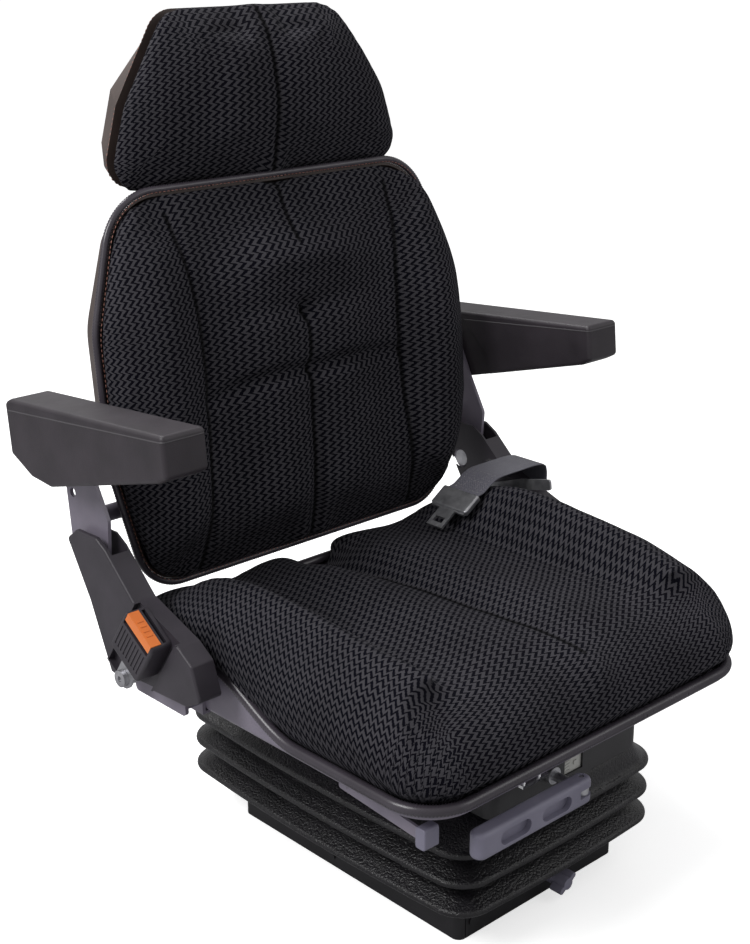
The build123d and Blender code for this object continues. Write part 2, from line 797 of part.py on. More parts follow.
# Seat cushion: foam standing in the pan and swelling over its trim
def seat_cushion():
    half = cushion_half_width
    low = foam_floor
    rows = [
        (-275, 236, 262, 264, 268, 262),
        (-240, 262, 299, 290, 294, 272),
        (-180, 272, 322, 298, 300, 282),
        (-110, 276, 335, 300, 301, 280),
        (-20, 282, 344, 301, 300, 270),
        (70, 292, 343, 300, 299, 265),
        (140, 286, 318, 293, 293, 262),
        (190, 272, 286, 279, 281, 258),
        (230, 262, 272, 268, 272, 254),
    ]
    sections = [cushion_section(y, half + 6, low - 3, *heights) for y, *heights in rows]
    body = loft(sections)
    edge = cushion_bottom_over
    plan = pan_plan(half - pan_half_width)
    swell = extrude(Pos(0, 0, low) * plan, 160)
    body = common(body, swell)
    face_y = cushion_front_y
    curve = Spline((face_y + 10, low - 5), (face_y + 1, 246), (face_y + 3, 276), (face_y + 34, 310))
    front = make_face(
        [
            curve,
            Line((face_y + 34, 310), (face_y - 40, 310)),
            Line((face_y - 40, 310), (face_y - 40, low - 5)),
            Line((face_y - 40, low - 5), (face_y + 10, low - 5)),
        ]
    )
    body = (body - side_view(front, -300, 300)).solids()[0]
    body = (body - box(-300, 300, cushion_rear_y, 260, low, 400)).solids()[0]
    insert = extrude(Pos(0, 0, low) * pan_plan(-pan_wall - trim_r), 90)
    insert = chamfer(insert.faces().sort_by(Axis.Z)[0].edges(), 4)
    body = common(body, above_rim(edge)) + common(body, insert)
    notch = [(-26, cushion_rear_y + 5), (0, cushion_rear_y - 34), (26, cushion_rear_y + 5)]
    cut = make_face(Polyline(*notch, close=True))
    return body - extrude(Pos(0, 0, 282) * cut, 60)


# Recliner hinge: a plate on the pan, a bolt through it, and the backrest's own plate outside it
def seat_plate():
    points = [
        (66, 215),
        (150, 215),
        (160, 246),
        (184, 292),
        (recline_y + recliner_r - 1, recline_z - 8),
        (recline_y + recliner_r - 2, recline_z + 10),
        (recline_y - 12, recline_z + 12),
        (150, 318),
        (70, 274),
    ]
    plate = side_view(outline(points, 5), seat_plate_x, seat_plate_x + plate_t)
    arm = box(pan_half_width, seat_plate_x + 1, 76, 142, 217, 223)
    arm += box(pan_half_width - 20, pan_half_width, 76, 142, pan_floor - 3, pan_floor)
    arm += box(pan_half_width, pan_half_width + 4, 76, 142, pan_floor - 3, 223)
    return plate + arm


def recline_bolt():
    inner = seat_plate_x
    outer = back_plate_outer + plate_gap
    bolt = rod_x(inner - 3.3, outer + 3, recline_y, recline_z, hinge_bolt_r)
    bolt += rod_x(inner - 3.3, inner, recline_y, recline_z, 10)
    head = outer + 0.2
    bolt += rod_x(head, head + 5, recline_y, recline_z, 9)
    return bolt


def hinge_plate():
    plate = seat_plate()
    hole = rod_x(seat_plate_x - 5, seat_plate_x + 9, recline_y, recline_z, hinge_bolt_r)
    return plate - hole


# Hinge cover: hollow moulding over both plates, slotted for the backrest's plate
def hinge_cover(pocket):
    face = make_face(Polyline(*cover_profile, close=True))
    face = fillet(face.vertices(), 4.5)
    body = side_view(face, cover_inner, cover_outer)
    body = fillet(body.faces().sort_by(Axis.X)[-1].edges(), 2.5)
    room = offset(face, -cover_wall)
    body -= side_view(room, cover_inner + cover_wall, cover_outer - cover_wall)
    swing = make_face(Polyline((164, 390), (164, 290), (196, 288), (250, 288), (250, 390), close=True))
    body -= side_view(swing, seat_plate_x - 3.6, back_plate_outer + 7)
    slot = outline([(58, 226), (176, 226), (176, 246), (58, 246)], 2)
    body -= side_view(slot, seat_plate_x - 0.4, seat_plate_x + plate_t + 0.4)
    inner_hole = rod_x(cover_inner - 1, cover_inner + 3, recline_y, recline_z, 12)
    body -= inner_hole
    boss = rod_x(seat_plate_x + plate_t, cover_outer - cover_wall, 92, 264, 6)
    boss += rod_x(seat_plate_x + plate_t, cover_outer - cover_wall, 146, 250, 6)
    body += boss
    if pocket:
        mid_y, mid_z = buckle_spot(46)
        lean = Pos(mid_y, mid_z) * Rot(0, 0, 90 + buckle_lean)
        deep = cover_outer - pocket_depth
        well = side_view(lean * Rectangle(122, buckle_width + 14), deep, cover_outer + 1)
        block = side_view(lean * Rectangle(126, buckle_width + 18), deep - 2, cover_outer)
        body += block & side_view(face, cover_inner, cover_outer)
        body -= well
    return body


def buckle_spot(reach):
    """A point along the buckle, measured from its bolt."""
    y = buckle_bolt_y - reach * sin(radians(buckle_lean))
    z = buckle_bolt_z + reach * cos(radians(buckle_lean))
    return y, z


def buckle_frame(shape):
    """Places a piece drawn along +Z from the buckle's bolt."""
    return Pos(0, buckle_bolt_y, buckle_bolt_z) * Rot(buckle_lean, 0, 0) * shape


def buckle_stalk():
    x0 = -(cover_outer + 3)
    strap = bar_between(0, 0, 0, 34, 12, x0 - 3, x0)
    strap -= rod_x(x0 - 4, x0 + 1, 0, 0, 5 + running)
    return buckle_frame(strap)


def buckle_bolt():
    x0 = -(cover_outer - pocket_depth)
    y, z = buckle_bolt_y, buckle_bolt_z
    bolt = rod_x(x0 - 17, x0, y, z, 5)
    bolt += rod_x(x0 - 18.5, x0 - 13.2, y, z, 9)
    bolt += rod_x(x0 - 9.9, x0, y, z, 9)
    return bolt - rod_x(x0 - 19, x0 - 16, y, z, 3)


def buckle_shape():
    """The buckle's case as a block, before its openings."""
    x_in = -(cover_outer - pocket_depth) - 0.6
    x_out = x_in - buckle_thickness
    half = buckle_width / 2
    block = box(x_out, x_in, -half, half, 30, 30 + buckle_length)
    block = fillet(block.edges().filter_by(Axis.X), 6)
    return fillet(block.faces().sort_by(Axis.X)[0].edges(), 3)


def buckle_body():
    x_in = -(cover_outer - pocket_depth) - 0.6
    x_out = x_in - buckle_thickness
    top = 30 + buckle_length
    body = buckle_shape()
    half = buckle_width / 2
    body -= box(x_out - 1, x_out + 13, 4 - half, half - 4, top - 14, top + 1)
    body -= box(x_out + 16, x_out + 20, 5 - half, half - 5, top - 36, top + 1)
    for rib in range(9):
        y = 6 - half + rib * 5
        body -= box(x_out - 1, x_out + 0.8, y - 1, y + 1, 40, top - 18)
    y_slot = 12.4
    body -= box(-(cover_outer + 6.3), -(cover_outer + 2.7), -y_slot, y_slot, 29, 47)
    return buckle_frame(body)


def buckle_button():
    x_in = -(cover_outer - pocket_depth) - 0.6
    x_out = x_in - buckle_thickness
    top = 30 + buckle_length
    half = buckle_width / 2 - 4.3
    button = box(x_out + 0.4, x_out + 12.7, -half, half, top - 9.5, top + 0.8)
    for rib in range(4):
        y = -9 + rib * 6
        button += box(x_out + 3, x_out + 10, y - 1, y + 1, top + 0.5, top + 1.4)
    return buckle_frame(button)


def on_back(shape):
    """Places a piece drawn upright about the recline pivot."""
    return Pos(0, recline_y, recline_z) * Rot(-back_tilt, 0, 0) * shape


def back_outline(grow):
    """The backrest seen from the front."""
    low = back_low - grow
    high = back_high + grow
    corners = [
        (back_half_bottom + grow, low),
        (back_half_width + grow, 95),
        (back_half_width + grow, 240),
        (back_half_top + grow, high),
    ]
    points = corners + [(-x, z) for x, z in reversed(corners)]
    face = make_face(Polyline(*points, close=True))
    low_corners = face.vertices().group_by(Axis.Y)[0]
    face = fillet(low_corners, 52 + grow)
    high_corners = [v for v in face.vertices() if v.Y > 300]
    face = fillet(high_corners, 62 + grow)
    middle = [v for v in face.vertices() if 90 < v.Y < 245 and abs(v.X) > back_half_width + grow - 1]
    return fillet(middle, 90)


def upright(face, y):
    """A face drawn as (x, z), standing at y."""
    return Plane(origin=(0, y, 0), x_dir=(1, 0, 0), z_dir=(0, -1, 0)) * face


def shell_block(grow, y_rear):
    """The backrest shell's bulk, narrower toward the rear."""
    front = upright(back_outline(grow), rim_y)
    rear = upright(back_outline(grow - shell_inset), y_rear)
    return loft([rear, front], ruled=True)


# Backrest shell: dished moulding, open at the front, holed for the frame tubes and the posts
def backrest_shell():
    body = shell_block(0, shell_y) - shell_block(-shell_wall, shell_y - shell_wall)
    for z in (tube_low_z, tube_high_z):
        body -= rod_x(-260, 260, tube_y, z, tube_r)
    for x in (-post_x, post_x):
        body -= rod_z(back_high - 40, back_high + 10, x, post_y, post_r + running)
    return on_back(body)


def backrest_trim():
    grow = piping_r - 0.4
    path = upright(back_outline(grow), rim_y).faces()[0].outer_wire()
    section = Plane(origin=path @ 0, z_dir=path % 0) * Circle(piping_r)
    bead = sweep(section, path=path)
    return on_back(bead) - backrest_shell() - backrest_cushion()


def back_section(z, half, side_y, bolster, valley, panel, groove):
    """The backrest cushion across the back at one height."""
    front = [
        (-half, side_y),
        (-half + 14, side_y + (bolster - side_y) * 0.7),
        (-196, bolster),
        (-138, valley),
        (-70, panel),
        (-20, panel + (groove - panel) * 0.3),
        (0, groove),
        (20, panel + (groove - panel) * 0.3),
        (70, panel),
        (138, valley),
        (196, bolster),
        (half - 14, side_y + (bolster - side_y) * 0.7),
        (half, side_y),
    ]
    edges = [
        Spline(*front),
        Line((half, side_y), (half, rim_y)),
        Line((half, rim_y), (-half, rim_y)),
        Line((-half, rim_y), (-half, side_y)),
    ]
    return Plane(origin=(0, 0, z), x_dir=(1, 0, 0), z_dir=(0, 0, 1)) * make_face(edges)


def backrest_cushion():
    rows = [
        (back_low - 8, -14, -18, -17, -18, -13),
        (back_low + 30, -22, -40, -30, -36, -8),
        (70, -26, -57, -34, -42, -18),
        (160, -26, -61, -34, -44, -24),
        (250, -24, -56, -34, -44, -26),
        (320, -18, -38, -24, -30, -10),
        (back_high + 8, -12, -16, -14, -16, -11),
    ]
    half = back_half_width
    body = loft([back_section(z, half, *depths) for z, *depths in rows])
    body = common(body, front_view(back_outline(-0.6), -90, rim_y))
    inner = shell_block(-shell_wall, shell_y - shell_wall)
    body += common(inner, box(-260, 260, rim_y, foam_y, back_low, back_high))
    return on_back(body)


def back_plate():
    points = [
        (-17, -13),
        (12, -15),
        (38, 20),
        (38, 92),
        (34, 162),
        (8, 162),
        (-14, 104),
        (-33, 60),
        (-26, 20),
    ]
    plate = side_view(outline(points, 8), back_plate_x, back_plate_outer)
    plate -= rod_x(back_plate_x - 1, back_plate_outer + 1, 0, 0, hinge_bolt_r + running)
    plate -= rod_x(back_plate_x - 1, back_plate_outer + 1, arm_pivot_y, arm_pivot_up, arm_bolt_r)
    plate -= rod_x(back_plate_x - 1, back_plate_outer + 1, 27, 82, 5)
    return plate


# Backrest frame: a plate each side joined by two cross tubes
def backrest_frame():
    frame = back_plate() + mirror(back_plate(), about=Plane.YZ)
    for z in (tube_low_z, tube_high_z):
        frame += rod_x(-back_plate_x - 1, back_plate_x + 1, tube_y, z, tube_r)
    return on_back(frame)


def armrest():
    points = [
        (pad_front, pad_top - 6),
        (pad_front, pad_top - pad_front_depth + 4),
        (pad_front + 14, pad_top - pad_front_depth - 2),
        (-4, pad_top - pad_rear_depth),
        (30, pad_top - pad_rear_depth + 6),
        (pad_rear, pad_top - pad_rear_depth + 26),
        (pad_rear, pad_top - 4),
        (pad_rear - 10, pad_top),
    ]
    pad = side_view(outline(points, 5), pad_inner, pad_outer)
    ends = pad.faces().sort_by(Axis.X)
    pad = fillet(ends[0].edges() + ends[-1].edges(), 4.5)
    swing = [(-48, 60), (-48, 134), (-10, 176), (30, 180), (90, 168), (90, 60)]
    pad -= side_view(outline(swing, 6), pad_inner - 1, back_plate_outer + 1)
    pad -= rod_x(back_plate_outer, back_plate_outer + 24, arm_pivot_y, arm_pivot_up, arm_bolt_r + running)
    return on_back(pad)


def armrest_bolt():
    bolt = rod_x(back_plate_x - 5, back_plate_outer + 22, arm_pivot_y, arm_pivot_up, arm_bolt_r)
    bolt += rod_x(back_plate_x - 5, back_plate_x, arm_pivot_y, arm_pivot_up, 8)
    return on_back(bolt)


def head_outline(grow):
    """The headrest seen from the front."""
    low = head_low - grow
    high = head_high + grow
    bottom = head_half_low + grow
    top = head_half_high + grow
    corners = [(bottom, low), (bottom, low + 30), (head_half_low - 18 + grow, low + 82), (top, high)]
    points = corners + [(-x, z) for x, z in reversed(corners)]
    face = make_face(Polyline(*points, close=True))
    face = fillet([v for v in face.vertices() if v.Y < low + 1], 24 + grow)
    face = fillet([v for v in face.vertices() if v.Y > high - 1], 38 + grow)
    return face


def head_section(z, half, side_y, crown, groove):
    """The headrest cushion across at one height."""
    front = [
        (-half, side_y),
        (-half + 24, crown + (side_y - crown) * 0.35),
        (-half * 0.45, crown),
        (-16, crown + 4),
        (0, groove),
        (16, crown + 4),
        (half * 0.45, crown),
        (half - 24, crown + (side_y - crown) * 0.35),
        (half, side_y),
    ]
    edges = [
        Spline(*front),
        Line((half, side_y), (half, head_rim_y)),
        Line((half, head_rim_y), (-half, head_rim_y)),
        Line((-half, head_rim_y), (-half, side_y)),
    ]
    return Plane(origin=(0, 0, z), x_dir=(1, 0, 0), z_dir=(0, 0, 1)) * make_face(edges)


def headrest_cushion():
    rows = [
        (head_low - 6, head_half_low + 2, 14, 8, 16),
        (head_low + 34, head_half_low + 2, 8, head_front_y + 2, 12),
        (head_low + 90, head_half_low - 14, 6, head_front_y - 6, 6),
        (head_high - 30, head_half_high + 20, 8, head_front_y - 6, 2),
        (head_high + 6, head_half_high + 4, 14, 10, 14),
    ]
    body = loft([head_section(*row) for row in rows])
    return on_back(common(body, front_view(head_outline(0), head_front_y - 20, head_rim_y)))


def headrest_shell():
    front = upright(head_outline(0), head_rim_y)
    rear = upright(head_outline(-16), head_rear_y)
    body = loft([rear, front], ruled=True)
    for x in (-post_x, post_x):
        body -= rod_z(head_low - 10, head_low + post_grip, x, post_y, post_r)
    return on_back(body)


def headrest_posts():
    posts = []
    for x in (-post_x, post_x):
        posts += rod_z(head_low - post_length, head_low + post_grip, x, post_y, post_r).solids()
    return on_back(Compound(children=posts))


def headrest_guides():
    blocks = []
    roof = back_high - 30
    for x in (-post_x, post_x):
        block = box(x - 13, x + 13, post_y - 13, shell_y - shell_wall, roof - 70, roof)
        block -= rod_z(roof - 71, roof + 1, x, post_y, post_r + running)
        blocks += block.solids()
    return on_back(Compound(children=blocks))


def cover_bolt():
    """A hexagon bolt and washer on the cover's inner face."""
    y, z = 152, 333
    washer = rod_x(cover_inner - 1.6, cover_inner, y, z, 9)
    head = RegularPolygon(6.5, 6)
    return washer + side_view(Pos(y, z) * head, cover_inner - 6.5, cover_inner - 1)


def recline_lever():
    x1 = cover_inner - 2
    x0 = x1 - 3
    points = [(140, 300), (152, 292), (150, 312), (100, 330), (54, 341), (52, 328), (96, 318)]
    lever = side_view(outline(points, 3), x0, x1)
    return lever + rod_x(x1 - 1, cover_inner - 0.1, 144, 302, 8)


# Lap belt: a sealed retractor outside the left cover, the webbing over the cushion, and the tongue
def belt_retractor():
    x0 = cover_outer
    case = box(x0, x0 + 34, web_y - 32, web_y + 32, 246, 288)
    case = fillet(case.edges().filter_by(Axis.Y), 6)
    case = fillet(case.faces().sort_by(Axis.X)[-1].edges(), 2)
    return case


def along_tongue(reach):
    """A point on the tongue's middle line, as (x, z)."""
    lean = radians(tongue_lean)
    return tongue_x + reach * cos(lean), tongue_z + reach * sin(lean)


def belt_webbing():
    route = [
        (cover_outer + 3, 288),
        (cover_outer + 3, 338),
        (cover_outer - 6, web_crest_z),
        (206, web_crest_z),
        along_tongue(58),
        along_tongue(30),
    ]
    path = FilletPolyline(*[(x, web_y, z) for x, z in route], radius=8)
    start = Plane(origin=path @ 0, x_dir=(0, 1, 0), z_dir=path % 0)
    return sweep(start * Rectangle(web_width, web_thickness), path=path)


def belt_tongue():
    plate = box(0, 28, web_y - 26, web_y + 26, -1.5, 1.5)
    plate += box(-26, 1, web_y - 12, web_y + 12, -1.5, 1.5)
    plate -= box(-20, -12, web_y - 7, web_y + 7, -3, 3)
    grip = fillet(box(2, 30, web_y - 28, web_y + 28, -4, 4).edges(), 2.5)
    return Pos(tongue_x, 0, tongue_z) * Rot(0, -tongue_lean, 0) * (plate + grip)


save("base_tray", base_tray())
save("wing_knob", wing_knob())
save("base_brackets", base_brackets())
save("lower_tracks", lower_tracks())
save("outer_arms", outer_arms())
save("inner_arms", inner_arms())
save("roller_lower_left", roller(1, lower_track_x, arm_pivot_z))
save("roller_lower_right", roller(-1, lower_track_x, arm_pivot_z))
save("roller_upper_left", roller(1, upper_track_x, upper_pivot_z))
save("roller_upper_right", roller(-1, upper_track_x, upper_pivot_z))
save("tension_springs", tension_springs())
save("spring_crosshead", spring_crosshead())
save("damper_body", damper_body())
save("damper_rod", damper_rod())
save("upper_frame", upper_frame())
save("upper_tracks", upper_tracks())
save("bellows", bellows())
save("upper_housing", upper_housing())
save("weight_scale", weight_scale())
save("adjuster_spindle", adjuster_spindle())
save("adjuster_handle", adjuster_handle())
save("handle_pin", handle_pin())
save("hook", hook_and_tab())
save("lower_rails", lower_rails())
save("upper_rails", upper_rails())
save("rail_slides", rail_slides())
save("slide_lever", slide_lever())
save("slide_lever_tab", slide_lever_tab())
save("seat_pan", seat_pan())
save("pan_trim", pan_trim())
save("seat_cushion", seat_cushion())
save("hinge_plate_left", hinge_plate())
save("hinge_plate_right", mirror(hinge_plate(), about=Plane.YZ))
save("recline_bolts", both_sides(recline_bolt()))
save("hinge_cover_left", hinge_cover(False))
save("hinge_cover_right", mirror(hinge_cover(True), about=Plane.YZ))
save("cover_bolts", both_sides(cover_bolt()))
save("recline_lever", recline_lever())
save("buckle_stalk", buckle_stalk())
save("buckle_bolt", buckle_bolt())
save("buckle_body", buckle_body())
save("buckle_button", buckle_button())
save("backrest_shell", backrest_shell())
save("backrest_trim", backrest_trim())
save("backrest_cushion", backrest_cushion())
save("backrest_frame", backrest_frame())
save("armrest_left", armrest())
save("armrest_right", mirror(armrest(), about=Plane.YZ))
save("armrest_bolts", both_sides(armrest_bolt()))
save("headrest_cushion", headrest_cushion())
save("headrest_shell", headrest_shell())
save("headrest_posts", headrest_posts())
save("headrest_guides", headrest_guides())
save("belt_retractor", belt_retractor())
save("belt_webbing", belt_webbing())
save("belt_tongue", belt_tongue())
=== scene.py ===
from math import atan2, cos, hypot, pi, radians, sin

import bmesh
import bpy
import numpy as np
from mathutils import Matrix, Vector
from mathutils.bvhtree import BVHTree


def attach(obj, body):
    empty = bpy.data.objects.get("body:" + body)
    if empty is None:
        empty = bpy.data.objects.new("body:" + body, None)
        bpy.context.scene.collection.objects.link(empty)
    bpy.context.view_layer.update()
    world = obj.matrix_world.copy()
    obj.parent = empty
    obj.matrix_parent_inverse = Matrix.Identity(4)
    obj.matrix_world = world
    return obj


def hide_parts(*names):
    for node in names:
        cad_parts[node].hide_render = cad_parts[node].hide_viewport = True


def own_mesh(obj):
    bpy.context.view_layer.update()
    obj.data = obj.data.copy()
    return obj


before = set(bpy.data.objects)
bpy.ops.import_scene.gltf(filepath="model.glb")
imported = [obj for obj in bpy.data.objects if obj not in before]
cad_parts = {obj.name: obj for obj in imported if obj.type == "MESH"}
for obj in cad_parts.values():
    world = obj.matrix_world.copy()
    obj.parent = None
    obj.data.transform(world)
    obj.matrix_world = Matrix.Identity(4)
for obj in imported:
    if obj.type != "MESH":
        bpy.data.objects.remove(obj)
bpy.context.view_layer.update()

# The studio. The camera stands before the driver's right knee and looks down at the seat, as the
# photograph does. Three soft lamps and a dim sky light the seat, mostly from the left and behind.
# The camera itself sees a white sky and a white floor with a faint shadow.
mm = 0.001
sky_seen = 1.0
sky_on_seat = 0.48
floor_glow_seen = 0.6
scene = bpy.context.scene
scene.view_settings.view_transform = "Standard"
view_turn = radians(-43.2)
view_height = radians(19.2)
camera_place = Vector((-1.108, -1.099, 0.969))
backward = Vector((sin(view_turn) * cos(view_height), -cos(view_turn) * cos(view_height), sin(view_height)))
rightward = Vector((0, 0, 1)).cross(backward).normalized()
upward = backward.cross(rightward)
lens = bpy.data.cameras.new("camera")
lens.sensor_fit = "VERTICAL"
lens.sensor_height = 36
lens.lens = 60.9
camera = bpy.data.objects.new("camera", lens)
turn = Matrix((rightward, upward, backward)).transposed().to_4x4()
camera.matrix_world = Matrix.Translation(camera_place) @ turn
scene.collection.objects.link(camera)
scene.camera = camera


def new_finish(name):
    """A material with its shader, ready for this finish's own nodes."""
    material = bpy.data.materials.new(name)
    material.use_nodes = True
    tree = material.node_tree
    return material, tree, tree.nodes["Principled BSDF"]


def step(tree, kind, inputs=(), **settings):
    """One shader node, with its inputs given as numbers or as other nodes' outputs."""
    made = tree.nodes.new("ShaderNode" + kind)
    for name, value in settings.items():
        setattr(made, name, value)
    for name, value in dict(inputs).items():
        if isinstance(value, bpy.types.NodeSocket):
            tree.links.new(value, made.inputs[name])
        else:
            made.inputs[name].default_value = value
    return made


def reckon(tree, operation, *values):
    """One sum on numbers or on other nodes' outputs."""
    inputs = {place: value for place, value in enumerate(values)}
    return step(tree, "Math", inputs, operation=operation).outputs[0]


sky = bpy.data.worlds.new("sky")
sky.use_nodes = True
scene.world = sky
sky_tree = sky.node_tree
sky_tree.nodes["Background"].inputs["Color"].default_value = (1, 1, 1, 1)
seen = step(sky_tree, "LightPath")
seen_at_all = reckon(sky_tree, "MAXIMUM", seen.outputs["Is Camera Ray"], seen.outputs["Is Transmission Ray"])
sky_light = reckon(sky_tree, "MULTIPLY_ADD", seen_at_all, sky_seen - sky_on_seat, sky_on_seat)
sky_tree.links.new(sky_light, sky_tree.nodes["Background"].inputs["Strength"])


def softbox(name, place, size, power):
    """A square studio lamp that faces the middle of the seat."""
    lamp = bpy.data.lights.new(name, "AREA")
    lamp.shape = "SQUARE"
    lamp.size = size
    lamp.energy = power
    holder = bpy.data.objects.new(name, lamp)
    holder.location = place
    aim = Vector((0, 0, 0.4)) - holder.location
    holder.rotation_euler = aim.to_track_quat("-Z", "Y").to_euler()
    scene.collection.objects.link(holder)


softbox("lamp_left", Vector((-2.0, 0.3, 2.1)), 1.2, 44)
softbox("lamp_right", Vector((1.7, -1.9, 1.9)), 1.3, 9)
softbox("lamp_behind", Vector((0.1, 1.3, 2.6)), 1.1, 34)

floor_size = 60.0
floor_mesh = bpy.data.meshes.new("floor")
corners = [(x * floor_size, y * floor_size, 0) for x, y in ((-1, -1), (1, -1), (1, 1), (-1, 1))]
floor_mesh.from_pydata(corners, [], [(0, 1, 2, 3)])
floor = bpy.data.objects.new("floor", floor_mesh)
scene.collection.objects.link(floor)
floor_finish, floor_tree, floor_shader = new_finish("pale studio floor")
floor_seen = step(floor_tree, "LightPath").outputs["Is Camera Ray"]
floor_shade = step(floor_tree, "Mix", {"Factor": floor_seen}, data_type="RGBA")
floor_shade.inputs["A"].default_value = (0.4, 0.4, 0.41, 1)
floor_shade.inputs["B"].default_value = (0.92, 0.92, 0.92, 1)
floor_tree.links.new(floor_shade.outputs["Result"], floor_shader.inputs["Base Color"])
floor_shader.inputs["Emission Color"].default_value = (1, 1, 1, 1)
floor_glow = reckon(floor_tree, "MULTIPLY", floor_seen, floor_glow_seen)
floor_tree.links.new(floor_glow, floor_shader.inputs["Emission Strength"])
floor_shader.inputs["Roughness"].default_value = 0.85
floor_mesh.materials.append(floor_finish)


def at_rest(tree):
    """Each point's place on the resting seat, which stays with the piece as it moves."""
    return step(tree, "TexCoord").outputs["Object"]


def mottled(tree, place, dark, light, size):
    """A colour that drifts between two shades in patches of one size."""
    noise = step(tree, "TexNoise", {"Vector": place, "Scale": 1 / size, "Detail": 4.0})
    ramp = step(tree, "ValToRGB", {"Fac": noise.outputs["Fac"]})
    ramp.color_ramp.elements[0].position = 0.32
    ramp.color_ramp.elements[0].color = (*dark, 1)
    ramp.color_ramp.elements[1].position = 0.68
    ramp.color_ramp.elements[1].color = (*light, 1)
    return ramp.outputs["Color"]


def uneven(tree, shader, place, low, high, size):
    """Roughness that varies over the surface."""
    noise = step(tree, "TexNoise", {"Vector": place, "Scale": 1 / size, "Detail": 3.0})
    spread = step(tree, "MapRange", {"Value": noise.outputs["Fac"], "To Min": low, "To Max": high})
    tree.links.new(spread.outputs["Result"], shader.inputs["Roughness"])


def raised(tree, shader, height, depth):
    """Fine relief from a height between 0 and 1."""
    bump = step(tree, "Bump", {"Height": height, "Distance": depth, "Strength": 1.0})
    tree.links.new(bump.outputs["Normal"], shader.inputs["Normal"])


def powder_coat(name, dark, light):
    """Baked paint on pressed steel: a faint orange peel and slightly dusty patches."""
    material, tree, shader = new_finish(name)
    place = at_rest(tree)
    tree.links.new(mottled(tree, place, dark, light, 45 * mm), shader.inputs["Base Color"])
    uneven(tree, shader, place, 0.34, 0.56, 30 * mm)
    peel = step(tree, "TexNoise", {"Vector": place, "Scale": 1 / (1.3 * mm), "Detail": 2.0})
    raised(tree, shader, peel.outputs["Fac"], 0.1 * mm)
    shader.inputs["Coat Weight"].default_value = 0.15
    return material


def bare_steel(name, dark, light, roughness):
    """Plated or drawn steel, with fine scratches along its length and cloudy plating."""
    material, tree, shader = new_finish(name)
    place = at_rest(tree)
    tree.links.new(mottled(tree, place, dark, light, 12 * mm), shader.inputs["Base Color"])
    shader.inputs["Metallic"].default_value = 0.9
    uneven(tree, shader, place, roughness * 0.7, roughness * 1.4, 5 * mm)
    drawn = step(tree, "Mapping", {"Vector": place, "Scale": (1.0, 0.06, 1.0)}).outputs["Vector"]
    lines = step(tree, "TexNoise", {"Vector": drawn, "Scale": 1 / (0.5 * mm), "Detail": 3.0})
    raised(tree, shader, lines.outputs["Fac"], 0.03 * mm)
    return material


def moulded(name, dark, light, rough_low, rough_high, grain=0.9 * mm, depth=0.12 * mm):
    """Moulded plastic with the pebbled grain of its tool."""
    material, tree, shader = new_finish(name)
    place = at_rest(tree)
    tree.links.new(mottled(tree, place, dark, light, 60 * mm), shader.inputs["Base Color"])
    uneven(tree, shader, place, rough_low, rough_high, 18 * mm)
    pebbles = step(tree, "TexVoronoi", {"Vector": place, "Scale": 1 / grain}, feature="SMOOTH_F1")
    fine = step(tree, "TexNoise", {"Vector": place, "Scale": 3 / grain, "Detail": 2.0})
    height = reckon(tree, "MULTIPLY_ADD", fine.outputs["Fac"], 0.4, pebbles.outputs["Distance"])
    raised(tree, shader, height, depth)
    return material


def dress(material, *names):
    """Gives pieces of the frame their finish."""
    for name in names:
        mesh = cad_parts[name].data
        mesh.materials.clear()
        mesh.materials.append(material)


# Base: a tray pressed from one steel sheet and coated black, with welded tracks and brackets
# inside. The height stop's wing knob is moulded in grey nylon on a plated stud.
black_coat = powder_coat("black powder coat", (0.005, 0.0045, 0.0058), (0.010, 0.009, 0.0115))
plated_steel = bare_steel("zinc plated steel", (0.33, 0.33, 0.35), (0.52, 0.52, 0.54), 0.36)
grey_nylon = moulded("grey nylon", (0.17, 0.162, 0.22), (0.215, 0.205, 0.27), 0.38, 0.55, 0.7 * mm, 0.05 * mm)
dress(black_coat, "base_tray")
dress(plated_steel, "base_brackets", "lower_tracks")
dress(grey_nylon, "wing_knob")

# Scissor suspension: laser-cut arms welded to round shafts, nylon rollers, two tension springs
# on a threaded crosshead and a gas damper. The bellows hides nearly all of it.
roller_nylon = moulded("roller nylon", (0.45, 0.44, 0.41), (0.56, 0.55, 0.51), 0.4, 0.55, 1.2 * mm, 0.02 * mm)
spring_steel = bare_steel("oiled spring steel", (0.1, 0.1, 0.11), (0.2, 0.2, 0.21), 0.42)
polished_rod = bare_steel("polished rod", (0.62, 0.62, 0.64), (0.74, 0.74, 0.76), 0.14)
dress(black_coat, "outer_arms", "inner_arms", "damper_body", "upper_frame", "upper_tracks")
dress(roller_nylon, "roller_lower_left", "roller_lower_right", "roller_upper_left", "roller_upper_right")
dress(spring_steel, "tension_springs")
dress(plated_steel, "spring_crosshead")
dress(polished_rod, "damper_rod")

# Bellows: one blow-moulded rubber sleeve with three ribs, hooked over the tray and the housing. The mould's
# leathery grain covers lips and slopes alike; the lips are not made smoother.
lip_half_x = 152 * mm
lip_half_y = 219 * mm
lip_centre_y = 16 * mm
lip_corner = 32 * mm
lip_bow_x = 8 * mm
lip_bow_y = 5 * mm
lip_round = 4.5 * mm
fold_insets = ((0.16, 9), (0.3, 16), (0.42, 21.5), (0.5, 23.5), (0.58, 21.5), (0.7, 16), (0.84, 9))
first_rib_z = 53 * mm
rib_pitch = 32.5 * mm
rib_count = 3
tray_half_x = 120.4 * mm
tray_half_y = 169.4 * mm
tray_corner = 9 * mm
sleeve_foot_z = 30 * mm
housing_half_x = 112.4 * mm
housing_half_y = 200.4 * mm
housing_centre_y = -1 * mm
housing_corner = 12 * mm
sleeve_head_z = 148 * mm
cuff_bow = 0.3 * mm
bellows_wall = 2.4 * mm
corner_steps = 10
side_steps = 16


